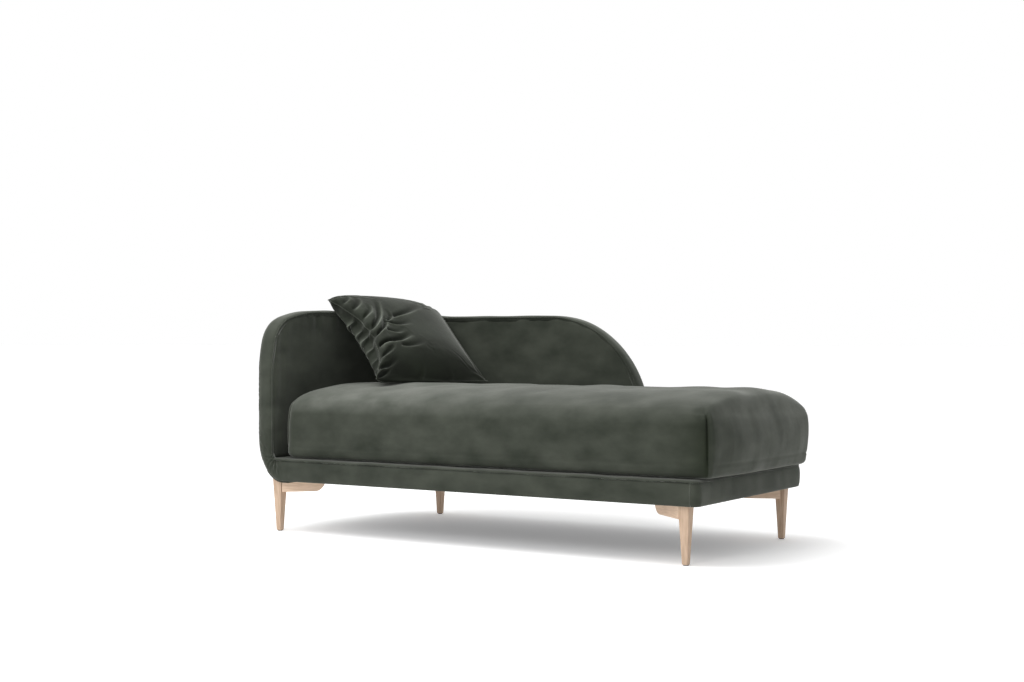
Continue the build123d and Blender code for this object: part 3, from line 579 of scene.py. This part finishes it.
# ---- Platform ----
def platform_outline(inset, start_x=LEFT + WALL - 0.03):
    """Plan outline and normals of the platform, from start_x along front, foot end and back to the wall."""
    front_radius = PLAN_RADII["front_right"] - inset
    back_radius = PLAN_RADII["back_right"] - inset
    right, front, back = RIGHT - inset, FRONT + inset, BACK - inset
    points, normals = [], []

    def straight(start, end, facing):
        count = max(2, int(np.hypot(*(np.subtract(end, start))) / (2 * STEP)))
        for share in np.linspace(0, 1, count):
            points.append(np.add(start, share * np.subtract(end, start)))
            normals.append(facing)

    def corner(centre, radius, start):
        for angle in np.linspace(start, start + np.pi / 2, 18)[1:-1]:
            facing = np.array([math.cos(angle), math.sin(angle)])
            points.append(np.array(centre) + max(radius, 0.002) * facing)
            normals.append(facing)

    straight((start_x, front), (right - front_radius, front), (0, -1))
    corner((right - front_radius, front + front_radius), front_radius, -np.pi / 2)
    straight((right, front + front_radius), (right, back - back_radius), (1, 0))
    corner((right - back_radius, back - back_radius), back_radius, 0)
    straight((right - back_radius, back), (WALL_END - 0.03, back), (0, 1))
    return np.array(points), np.array(normals, float)


def end_border():
    """Border round the foot end and the open part of the back."""
    points, facing = platform_outline(0)
    start = np.argmax(points[:, 0] >= RIGHT - PLAN_RADII["front_right"] - 1e-6)
    points, facing = points[start:], facing[start:]
    low, high = (np.column_stack([points, np.full(len(points), z)]) for z in (UNDER, SEAM))
    normal = np.column_stack([facing, np.zeros(len(points))])

    def relief(share):
        face = low[:, None, :] + (high - low)[:, None, :] * share[None, :, None]
        ripple = waves(face.reshape(-1, 3), 0.11, 21).reshape(face.shape[:2])
        return 0.0008 * ripple * np.sin(np.pi * share)[None, :]

    border = band("end_border", low, high, normal, BASE_CROWN, relief)
    dress(border, VELVET)
    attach(border, "frame")


def deck_roll():
    """Padded top of the platform: rolled down along its open edges, level under the cushion."""
    swing = np.linspace(-0.06, np.pi / 2, 16)
    roll = [(0.024 - 0.0225 * math.cos(a), SEAM + 0.007 * math.sin(a)) for a in swing]
    tail_end, level = 0.16, SEAM + 0.0075
    tail = [(0.036, SEAM + 0.0068), (0.060, SEAM + 0.0070), (tail_end, level)]
    round_until = 0.020  # rings further in keep these corners and are cut back, so that they never cross
    rings = []
    for inset, height in roll + tail:
        points, _ = platform_outline(min(inset, round_until))
        if inset > round_until:
            points = np.clip(points, (-9, FRONT + inset), (RIGHT - inset, BACK - inset))
        rings.append(with_column(points, 2, height))
    grid = np.array(rings)
    count = grid.shape[1]
    sweep = np.linspace(np.pi / 2, np.pi, 24)
    arc = corner_centre() + (CORNER - WALL + 0.004) * np.stack([np.cos(sweep), np.sin(sweep)], axis=1)
    wall_end, wall_start = (WALL_END - 0.03, arc[0, 1]), (arc[-1, 0], FRONT + tail_end)
    along_wall = with_column(np.concatenate([[wall_end], arc, [wall_start]]), 2, level)
    flat = np.concatenate([grid.reshape(-1, 3), along_wall])
    flat[:, 2] += 0.0007 * waves(flat, 0.10, 31)
    faces = grid_faces(len(rings), count)
    faces.append(tuple((len(rings) - 1) * count + c for c in range(count + len(along_wall))))
    roll_piece = mesh_object("deck_roll", flat, faces)
    close_ends(roll_piece)
    solidify(roll_piece, 0.004, -1)
    dress(roll_piece, VELVET)
    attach(roll_piece, "frame")
    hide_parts("deck_cover", "deck_foam")


def turned_edge():
    """The border's hem, turned under the platform and stapled over the dust cloth."""
    rings = []
    for inset, height in ((0.004, UNDER + 0.003), (0.007, UNDER),
                          (0.012, UNDER - 0.0006), (0.026, UNDER - 0.0006)):
        points, _ = platform_outline(inset, LEFT + UNDER_X)
        rings.append(np.column_stack([points, np.full(len(points), height)]))
    grid = np.array(rings)
    hem = mesh_object("turned_hem", grid.reshape(-1, 3), grid_faces(*grid.shape[:2]))
    solidify(hem, 0.001, 1)
    dress(hem, VELVET)
    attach(hem, "frame")


# ---- Seat cushion ----
SEAT_DROOP = 0.010  # how far the cushion sinks into the platform's foam
SEAT_RADII = {"front_right": 0.022, "back_right": 0.036, "back_left": 0.200, "front_left": 0.045}
SEAT_SIDE = SEAT_LOW.z + 0.151  # where the upright side begins to turn over
SEAT_TURN, SEAT_RISE = 0.030, 0.034  # plan width and height of that turn
SEAT_CROWN = 0.072  # how much higher the middle of the top is
SIDE_REACH, END_REACH = 0.092, 0.019  # how far from the long edges and the ends the crown fills out
SEAT_HALF = (SEAT_HIGH.y - SEAT_LOW.y) / 2
SEAT_MIDDLE = (SEAT_HIGH.y + SEAT_LOW.y) / 2
SEAT_SEAM = SEAT_LOW.z + 0.030  # height of the seam round the side
DART_TIP = SEAT_SIDE + 0.036  # height where the corner darts end
DEEP_DART = "front_right"  # the dart that pulls the front in beside it
DART_DEPTH = 0.0065


def seat_outline():
    """Plan outline of the seat cushion, anticlockwise from the front left, with corner tags."""
    left, right, front, back = SEAT_LOW.x, SEAT_HIGH.x, SEAT_LOW.y, SEAT_HIGH.y
    points, tags = [], []

    def corner(name, cx, cy, start):
        radius = SEAT_RADII[name]
        centre = (cx + (radius if "left" in name else -radius),
                  cy + (radius if "front" in name else -radius))
        count = int(radius * np.pi / 2 / (0.0028 if radius < 0.1 else STEP)) | 1
        for number, angle in enumerate(np.linspace(start, start + np.pi / 2, count)):
            points.append((centre[0] + radius * math.cos(angle), centre[1] + radius * math.sin(angle)))
            tags.append(name if number == count // 2 else "")

    def fill(to):
        start, end = np.array(points[-1]), np.array(to)
        count = int(np.linalg.norm(end - start) / STEP)
        for share in np.linspace(0, 1, count + 1)[1:-1]:
            points.append(tuple(start + share * (end - start)))
            tags.append("")

    corner("front_left", left, front, -np.pi)
    fill((right - SEAT_RADII["front_right"], front))
    corner("front_right", right, front, -np.pi / 2)
    fill((right, back - SEAT_RADII["back_right"]))
    corner("back_right", right, back, 0)
    fill((left + SEAT_RADII["back_left"], back))
    corner("back_left", left, back, np.pi / 2)
    fill((left, front + SEAT_RADII["front_left"]))
    return np.array(points), tags


def seat_profile():
    """Rows (inset, height) from under the cushion's middle, round its side, to the middle of its top."""
    bottom = SEAT_LOW.z - SEAT_DROOP
    edge = 0.016  # radius of the bottom edge
    rows = [(inset, bottom) for inset in np.linspace(SEAT_HALF, edge, 16)]
    rows += [(edge - edge * math.sin(a), bottom + edge - edge * math.cos(a))
             for a in np.linspace(0, np.pi / 2, 6)[1:]]
    rows += [(0.0, z) for z in even(bottom + edge, SEAT_SIDE, 0.0055)[1:]]
    insets = np.concatenate([SEAT_TURN * (1 - np.cos(np.linspace(0, np.pi / 2, 12)))[1:],
                             even(SEAT_TURN, SEAT_HALF, 0.0085)[1:]])
    for inset in insets:
        lift = SEAT_RISE * math.sqrt(max(0.0, 1 - max(0.0, 1 - inset / SEAT_TURN) ** 2))
        rows.append((inset, SEAT_SIDE + lift))
    return rows


def filled(distance, reach):
    """Nothing at an edge, coming up to one over the reach."""
    return 1 - np.exp(-np.maximum(distance, 0) / reach)


def seat_body(outline, facing, rows):
    """Points of the filled cushion, row by row: crowned on top, bellied along its sides."""
    spine = np.stack([np.clip(outline[:, 0], SEAT_LOW.x + SEAT_HALF, SEAT_HIGH.x - SEAT_HALF),
                      np.full(len(outline), SEAT_MIDDLE)], axis=1)
    belly, end_belly = 0.006, 0.012
    grid = []
    for inset, height in rows:
        plan = outline + (spine - outline) * (inset / SEAT_HALF)
        to_side = np.minimum(plan[:, 1] - SEAT_LOW.y, SEAT_HIGH.y - plan[:, 1])
        to_end = np.minimum(plan[:, 0] - SEAT_LOW.x, SEAT_HIGH.x - plan[:, 0])
        domed = SEAT_CROWN * filled(to_side, SIDE_REACH) * filled(to_end, END_REACH)
        z = height + (domed if height >= SEAT_SIDE else 0)
        lifted = np.broadcast_to(z, (len(plan),))
        rise_share = np.clip((lifted - SEAT_LOW.z) / (SEAT_SIDE + SEAT_RISE - SEAT_LOW.z), 0, 1)
        swell = np.sin(np.pi * rise_share) * max(0.0, 1 - inset / 0.05)
        above_zip = np.clip((height - SEAT_LOW.z - 0.055) / 0.03, 0, 1)
        on_end = end_belly * np.clip((SEAT_HALF - np.abs(outline[:, 1] - SEAT_MIDDLE)) / 0.12, 0, 1)
        out = np.where(facing[:, 1] > 0.7, belly * above_zip,
                       belly + on_end * np.maximum(facing[:, 0], 0)) * swell
        grid.append(np.column_stack([plan + facing * out[:, None], lifted]))
    return np.array(grid)


def seat_surface():
    """The cushion's grid of points, with its darted corners, and the painted light and shade at each point.
    """
    outline, tags = seat_outline()
    rows = seat_profile()
    frontward = np.clip((SEAT_MIDDLE - outline[:, 1]) / SEAT_HALF, 0, 1) ** 2
    footward = np.clip((outline[:, 0] - SEAT_HIGH.x + 0.4) / 0.4, 0, 1)
    outline[:, 0] -= 0.020 * (frontward * footward)
    travel = np.concatenate([[0], np.cumsum(np.linalg.norm(np.diff(outline, axis=0), axis=1))])
    forward = np.roll(outline, -1, axis=0) - np.roll(outline, 1, axis=0)
    facing = unit(np.stack([forward[:, 1], -forward[:, 0]], axis=1))
    grid = seat_body(outline, facing, rows)
    side = (1 - np.clip(np.array([inset for inset, _ in rows]) / SEAT_TURN, 0, 1))[:, None]
    heights = np.array([height for _, height in rows])[:, None]
    flat = grid.reshape(-1, 3)
    push = 0.0016 * waves(flat, 0.17, 41).reshape(grid.shape[:2])
    pulls = waves(flat, 0.075, 42, (1, 1, 5)).reshape(grid.shape[:2])
    push += side * 0.0003 * pulls * np.abs(facing[:, 0])[None, :]
    push -= 0.0026 * bell(heights - SEAT_SEAM, 0.0032) * side
    # painted light: the top of the cushion is paler in colour, more so toward the arm, to lift the shade the
    # arm casts there
    painted_light_toward_arm = np.clip((0.2 - grid[:, :, 0]) / 0.7, 0, 1)
    pile = 1 + (0.35 + 1.1 * painted_light_toward_arm) * np.clip((grid[:, :, 2] - SEAT_SIDE) / 0.05, 0, 1)
    for number, tag in enumerate(tags):
        if not tag:
            continue
        deep = tag == DEEP_DART
        toward = -1 if deep else 1  # which way round the outline the dart pulls
        around = travel - travel[number]
        around = (around + travel[-1] / 2) % travel[-1] - travel[-1] / 2
        rise = grid[:, number, 2][:, None]
        drop = np.clip((DART_TIP - rise) / 0.17, 0, 1)
        below_tip = rise < DART_TIP
        groove = np.where((heights > SEAT_SEAM) & below_tip, DART_DEPTH * (1 - drop) ** 0.7 + 0.0015, 0)
        push -= groove * bell(around, 0.0055)[None, :] * side
        pulled = (np.exp(-np.abs(around) / 0.075) * (around * toward > 0))[None, :]
        above_seam = np.clip((heights - SEAT_SEAM) / 0.02, 0, 1)
        push -= (0.017 if deep else 0.006) * pulled * (1 - 0.5 * drop) * above_seam * side
        ear = bell(rise - DART_TIP + 0.004, 0.012)
        push += 0.0075 * bell(around, 0.016)[None, :] * ear * side
        roll = bell(around * toward + 0.026, 0.022) * deep
        push += 0.002 * roll[None, :] * np.sin(np.pi * (1 - drop))
        # painted shade: the front beside the deep dart, and each dart's groove, are darker in colour
        pile -= (0.75 if deep else 0.3) * pulled * side * below_tip
        pile -= 0.5 * groove * bell(around, 0.004)[None, :] * side / DART_DEPTH
    outward = np.column_stack([facing, np.zeros(len(facing))])[None, :, :] * side[:, :, None]
    on_top = (heights > SEAT_SIDE)[:, :, None] * (1 - side)[:, :, None]
    outward = outward + np.array([0, 0, 1.0]) * on_top
    grid = grid + outward * push[:, :, None]
    return grid, np.clip(pile, 0.1, 3)


def seat_cushion():
    """The loose seat cushion."""
    grid, pile = seat_surface()
    rows, columns = grid.shape[:2]
    faces = grid_faces(rows, columns, wrap=True)
    seat = mesh_object("seat_cushion", grid.reshape(-1, 3), faces)
    lay_painted_light(seat, pile.reshape(-1))
    close_ends(seat)
    dress(seat, PAINTED_LIGHT_VELVET)
    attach(seat, "seat")
    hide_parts("seat_cover", "seat_wrap", "seat_core")


# ---- Throw pillow ----
PILLOW_SIDE = 0.486
PILLOW_RIGHT = (0.3725, 0.9261, -0.0590)  # along the pillow's top edge, away from the arm
PILLOW_FACE = (0.585, -0.185, 0.790)  # where its front looks
PILLOW_PUFF = 0.078  # how far the middle of each face stands from the seam's plane
MOST_SETTLING = 0.004  # how far the cloth run may move a point
FOLD_HEIGHT, FOLD_WIDTH = 0.0023, 0.0008  # metres for each unit of height and of width in FOLDS
UNDER_FOLDS = 11  # how many of them show on the pillow's back too

FOLDS = (  # start and end on the face, as shares of its half side; height; half width
    ((-1.02, 0.86), (-0.82, 1.00), 3.0, 7), ((-1.02, 0.66), (-0.78, 0.90), 4.0, 8),
    ((-1.02, 0.46), (-0.72, 0.74), 5.0, 8), ((-1.02, 0.23), (-0.70, 0.50), 6.5, 8),
    ((-1.02, -0.08), (-0.45, 0.61), 9.0, 9), ((-0.98, -0.20), (-0.60, 0.20), 8.0, 8),
    ((-0.60, 0.12), (-0.40, 0.36), 4.5, 9), ((-0.42, 0.20), (0.40, 0.56), 6.0, 12),
    ((-0.70, 0.06), (-0.12, 0.06), 5.0, 9), ((-0.80, -0.14), (-0.34, -0.12), 4.0, 10),
    ((-1.04, -0.44), (-0.28, -0.26), 13.0, 12), ((-0.60, -0.48), (-0.02, -0.40), 4.0, 11),
    ((-1.02, -0.66), (-0.72, -0.46), 7.0, 10), ((-1.02, -0.86), (-0.66, -0.74), 7.0, 10),
    ((-1.00, -1.00), (-0.74, -0.84), 7.0, 9), ((-0.20, -1.02), (-0.10, -0.80), 1.6, 11),
    ((0.35, -1.02), (0.42, -0.82), 1.4, 12), ((0.80, 1.00), (0.62, 0.80), 2.5, 10),
    ((0.98, -0.96), (0.78, -0.80), 2.0, 10),
)


def pillow_frame():
    """Origin and axes of the pillow: along its top edge, up its face, and out of its face."""
    low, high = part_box("pillow_cover")
    centre = (np.array(low) + np.array(high)) / 2
    right = unit(np.array(PILLOW_RIGHT))
    face = np.array(PILLOW_FACE)
    face = unit(face - right * (face @ right))
    return centre, right, np.cross(face, right), face


def sewn_squares(side, cells):
    """Two flat squares of cloth sewn together round their edge: points, faces, and which points are sewn."""
    steps = np.linspace(-1, 1, cells + 1)
    u, v = np.meshgrid(steps, steps, indexing="ij")
    rim = (np.maximum(np.abs(u), np.abs(v)) > 1 - 1e-9)
    gap = 0.004 * (1 - np.maximum(np.abs(u), np.abs(v)) ** 6)
    top = np.stack([u * side / 2, v * side / 2, gap], axis=-1).reshape(-1, 3)
    count = (cells + 1) ** 2
    lower_index = np.where(rim.reshape(-1), np.arange(count), 0)
    inner = np.flatnonzero(~rim.reshape(-1))
    lower_index[inner] = count + np.arange(len(inner))
    low = top[inner] * np.array([1, 1, -1])
    faces = grid_faces(cells + 1, cells + 1)
    faces = faces + [tuple(int(lower_index[i]) for i in reversed(face)) for face in faces]
    return np.concatenate([top, low]), faces, rim.reshape(-1)


def rim_loop(cells):
    """Indices of the seam's points in order round the square."""
    index = np.arange((cells + 1) ** 2).reshape(cells + 1, cells + 1)
    return np.concatenate([index[:-1, 0], index[-1, :-1], index[:0:-1, -1], index[0, :0:-1]])


def simulate(piece, frames, pressure, tension, bending, pins):
    """Inflate a closed piece of cloth, held at its pins, and return where its points come to rest."""
    modifier = piece.modifiers.new("cloth", "CLOTH")
    settings = modifier.settings
    settings.quality = 6
    settings.mass = 0.25
    settings.tension_stiffness = tension
    settings.compression_stiffness = tension
    settings.shear_stiffness = tension * 0.4
    settings.bending_stiffness = bending
    settings.air_damping = 2.0
    settings.use_pressure = True
    settings.uniform_pressure_force = pressure
    settings.effector_weights.gravity = 0
    modifier.collision_settings.use_collision = False
    modifier.collision_settings.use_self_collision = False
    group = piece.vertex_groups.new(name="pins")
    group.add(np.flatnonzero(pins).tolist(), 1.0, "REPLACE")
    settings.vertex_group_mass = group.name
    modifier.point_cache.frame_start = 1
    modifier.point_cache.frame_end = frames
    scene = bpy.context.scene
    for number in range(1, frames + 1):
        scene.frame_set(number)
    graph = bpy.context.evaluated_depsgraph_get()
    settled = piece.evaluated_get(graph).data
    points = np.empty(len(settled.vertices) * 3)
    settled.vertices.foreach_get("co", points)
    piece.modifiers.remove(modifier)
    piece.vertex_groups.clear()
    scene.frame_set(1)
    return points.reshape(-1, 3)


def fold_height(u, v, folds):
    """Height of the folds over a square face: each a crest with a hollow along its upper side."""
    total = np.zeros_like(u)
    half = PILLOW_SIDE / 2
    for start, end, height, width in folds:
        start, run = np.array(start), np.subtract(end, start)
        length = np.hypot(*run)
        along = ((u - start[0]) * run[0] + (v - start[1]) * run[1]) / length ** 2
        bow = 0.05 * np.sin(np.pi * np.clip(along, 0, 1))
        off = (((v - start[1]) * run[0] - (u - start[0]) * run[1]) / length + bow) * half
        fade = np.clip(along / 0.16 + 0.35, 0, 1) * np.clip((1.1 - along) / 0.85, 0, 1) ** 1.1
        spread = width * FOLD_WIDTH * (0.7 + 0.5 * np.clip(along, 0, 1))
        crest = np.exp(-np.sqrt(off ** 2 + (0.25 * spread) ** 2) / (0.65 * spread))
        hollow = np.exp(-((off - 1.8 * spread) / (1.5 * spread)) ** 2)
        total += height * FOLD_HEIGHT * fade * (crest - 0.75 * hollow)
    return total


def stuffed(flat, rim):
    """The filled shape in the pillow's own frame, its left seam gathered, and the height of its folds."""
    half = PILLOW_SIDE / 2
    u, v = flat[:, 0] / half, flat[:, 1] / half
    front = (flat[:, 2] > 0) | rim
    most = np.maximum(np.abs(u), np.abs(v))

    # corners of the squares, rounded from these shares of the half side
    start = np.where(v < 0, 0.93, np.where(u < 0, 0.84, 0.78))
    over_u, over_v = (np.maximum(np.abs(side) - start, 0) / (1 - start) for side in (u, v))
    round_off = np.maximum(over_u, over_v) / np.maximum(np.hypot(over_u, over_v), 1e-9)
    corner_u, corner_v = ((1 - round_off) * over * (1 - start) * np.sign(side)
                          for over, side in ((over_u, u), (over_v, v)))

    # filling, fuller toward the top left, and the folds that stop short of the seam
    puff = PILLOW_PUFF * ((1 - np.abs(u) ** 2.3) * (1 - np.abs(v) ** np.where(v > 0, 5.0, 2.6))) ** 0.5
    puff *= 1 - 0.10 * u + 0.04 * v
    inside = np.clip((1 - most) / 0.045, 0, 1)
    under = 0.6 * fold_height(u, -v, FOLDS[:UNDER_FOLDS])
    folds = np.where(front, fold_height(u, v, FOLDS), under) * inside

    # seam: drawn in and gathered on the left, bowed below and at the right, turned out of its plane
    bowed = 1 - v ** 2
    reach = np.where(front, 0.9, 0.10)
    drawn_in = 0.27 * bowed * (1 - 0.30 * v) * bell(u + 1, reach)
    gathers = 0.014 * np.sin(21 * v + 2.2 * np.sin(7 * v)) * bell(u + 1, 0.10) * (1 - v ** 4)
    low_edge = 0.05 * (1 - u ** 2) * bell(v + 1, 0.5)
    far_edge = -0.03 * bowed * bell(u - 1, 0.5)
    turned = 0.034 * bowed * bell(u + 1, 0.30) - 0.030 * (1 - u ** 4) * bell(v + 1, 0.35)
    top_left = bell(u + 1, 0.35) * bell(v - 1, 0.35)
    low_right = bell(u - 1, 0.4) * bell(v + 1, 0.4)
    along = u - corner_u + drawn_in + far_edge + gathers - 0.055 * top_left + 0.06 * low_right
    upward = v - corner_v + low_edge + 0.03 * top_left
    side = np.where(front, 1, -1)
    return np.stack([along * half, upward * half, side * (puff + folds) + turned], axis=-1), folds


def pillow():
    """The loose throw pillow: two squares sewn round their edge, filled, leaning in the corner."""
    centre, right, up, face = pillow_frame()
    cells = 150
    flat, faces, rim = sewn_squares(PILLOW_SIDE, cells)
    seam_points = np.zeros(len(flat), bool)
    seam_points[:len(rim)] = rim
    local, folds = stuffed(flat, seam_points)
    cushion = mesh_object("throw_pillow", local, faces)
    settled = simulate(cushion, 14, 3.0, 12.0, 0.3, seam_points)
    move = settled - local
    size = np.linalg.norm(move, axis=1, keepdims=True)
    local = local + move * np.minimum(1, MOST_SETTLING / np.maximum(size, 1e-9))
    world = centre + local[:, :1] * right + local[:, 1:2] * up + local[:, 2:3] * face
    world[:, 0] = np.maximum(world[:, 0], np.where(world[:, 2] < ARM_TOP - 0.01, LEFT + WALL + 0.003, -9))
    world[:, 1] = np.minimum(world[:, 1], np.where(world[:, 2] < BACK_TOP - 0.01, BACK - WALL - 0.003, 9))
    world[:, 2] = np.maximum(world[:, 2], SEAT_HIGH.z + 0.026)
    cushion.data.vertices.foreach_set("co", world.reshape(-1))
    cushion.data.update()
    # painted highlight along the fold crests, painted shade in their hollows and toward the pillow's lower
    # edge
    pile = np.clip(np.where(folds > 0, 1 + folds / 0.0016, 1 + folds / 0.007), 0.10, 9.0)
    lay_painted_light(cushion, pile * (1 - 0.6 * bell(2 * flat[:, 1] / PILLOW_SIDE + 1, 0.5)))
    cushion.modifiers.new("smooth", "SUBSURF").render_levels = 1
    dress(cushion, PILLOW_VELVET)
    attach(cushion, "pillow")
    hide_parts("pillow_cover", "pillow_filling")
    loop = world[rim_loop(cells)]
    seam = cord_mesh("pillow_seam", np.concatenate([loop, loop[:1]]), 0.0016)
    dress(seam, VELVET)
    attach(seam, "pillow")


# ---- Stage ----
def stage():
    """Pale floor, white surroundings, soft studio lights and the camera."""
    scene = bpy.context.scene
    scene.view_settings.view_transform = "Standard"
    world = bpy.data.worlds.new("studio")
    scene.world = world
    world.use_nodes = True
    sky, links = world.node_tree.nodes, world.node_tree.links
    sky["Background"].inputs["Color"].default_value = (1, 1, 1, 1)
    # the surroundings are dimmer toward the foot end, at +x
    toward, split, dim = (sky.new("ShaderNode" + kind) for kind in ("TexCoord", "SeparateXYZ", "MapRange"))
    for socket, value in (("From Min", -0.1), ("From Max", 0.6), ("To Min", 1.0), ("To Max", 0.55)):
        dim.inputs[socket].default_value = value
    links.new(toward.outputs["Generated"], split.inputs["Vector"])
    links.new(split.outputs["X"], dim.inputs["Value"])
    links.new(dim.outputs["Result"], sky["Background"].inputs["Strength"])
    far = 200  # out of sight from every side
    corners = [(-far, -far, 0), (far, -far, 0), (far, far, 0), (-far, far, 0)]
    floor = mesh_object("floor", corners, [(0, 1, 2, 3)])
    material, _, _, shader = node_material("pale_floor")
    shader.inputs["Base Color"].default_value = (0.99, 0.99, 0.99, 1)
    shader.inputs["Roughness"].default_value = 0.9
    shader.inputs["Emission Color"].default_value = (1, 1, 1, 1)
    shader.inputs["Emission Strength"].default_value = 0.18
    dress(floor, material)
    for name, place, aim, size, power in (
        ("overhead", (-0.8, -0.8, 2.9), (-0.2, 0, 0.4), 2.6, 78),
        ("key", (0.9, -3.6, 2.5), (-0.4, 0.2, 0.5), 1.3, 35),
    ):
        light = bpy.data.lights.new(name, "AREA")
        light.size = size
        light.energy = power
        lamp = bpy.data.objects.new(name, light)
        lamp.location = place
        lamp.rotation_euler = Vector(np.subtract(aim, place)).to_track_quat("-Z", "Y").to_euler()
        scene.collection.objects.link(lamp)
    camera = bpy.data.objects.new("camera", bpy.data.cameras.new("camera"))
    camera.data.lens = 54.07
    camera.data.sensor_width = 36
    camera.location = (2.884, -4.663, 0.690)
    camera.rotation_euler = (math.radians(90), 0, math.radians(32.45))
    scene.collection.objects.link(camera)
    scene.camera = camera


stage()
dress_cad_nodes()
shell_ribbon()
inner_panel()
outer_panel()
end_border()
deck_roll()
turned_edge()
seat_cushion()
pillow()
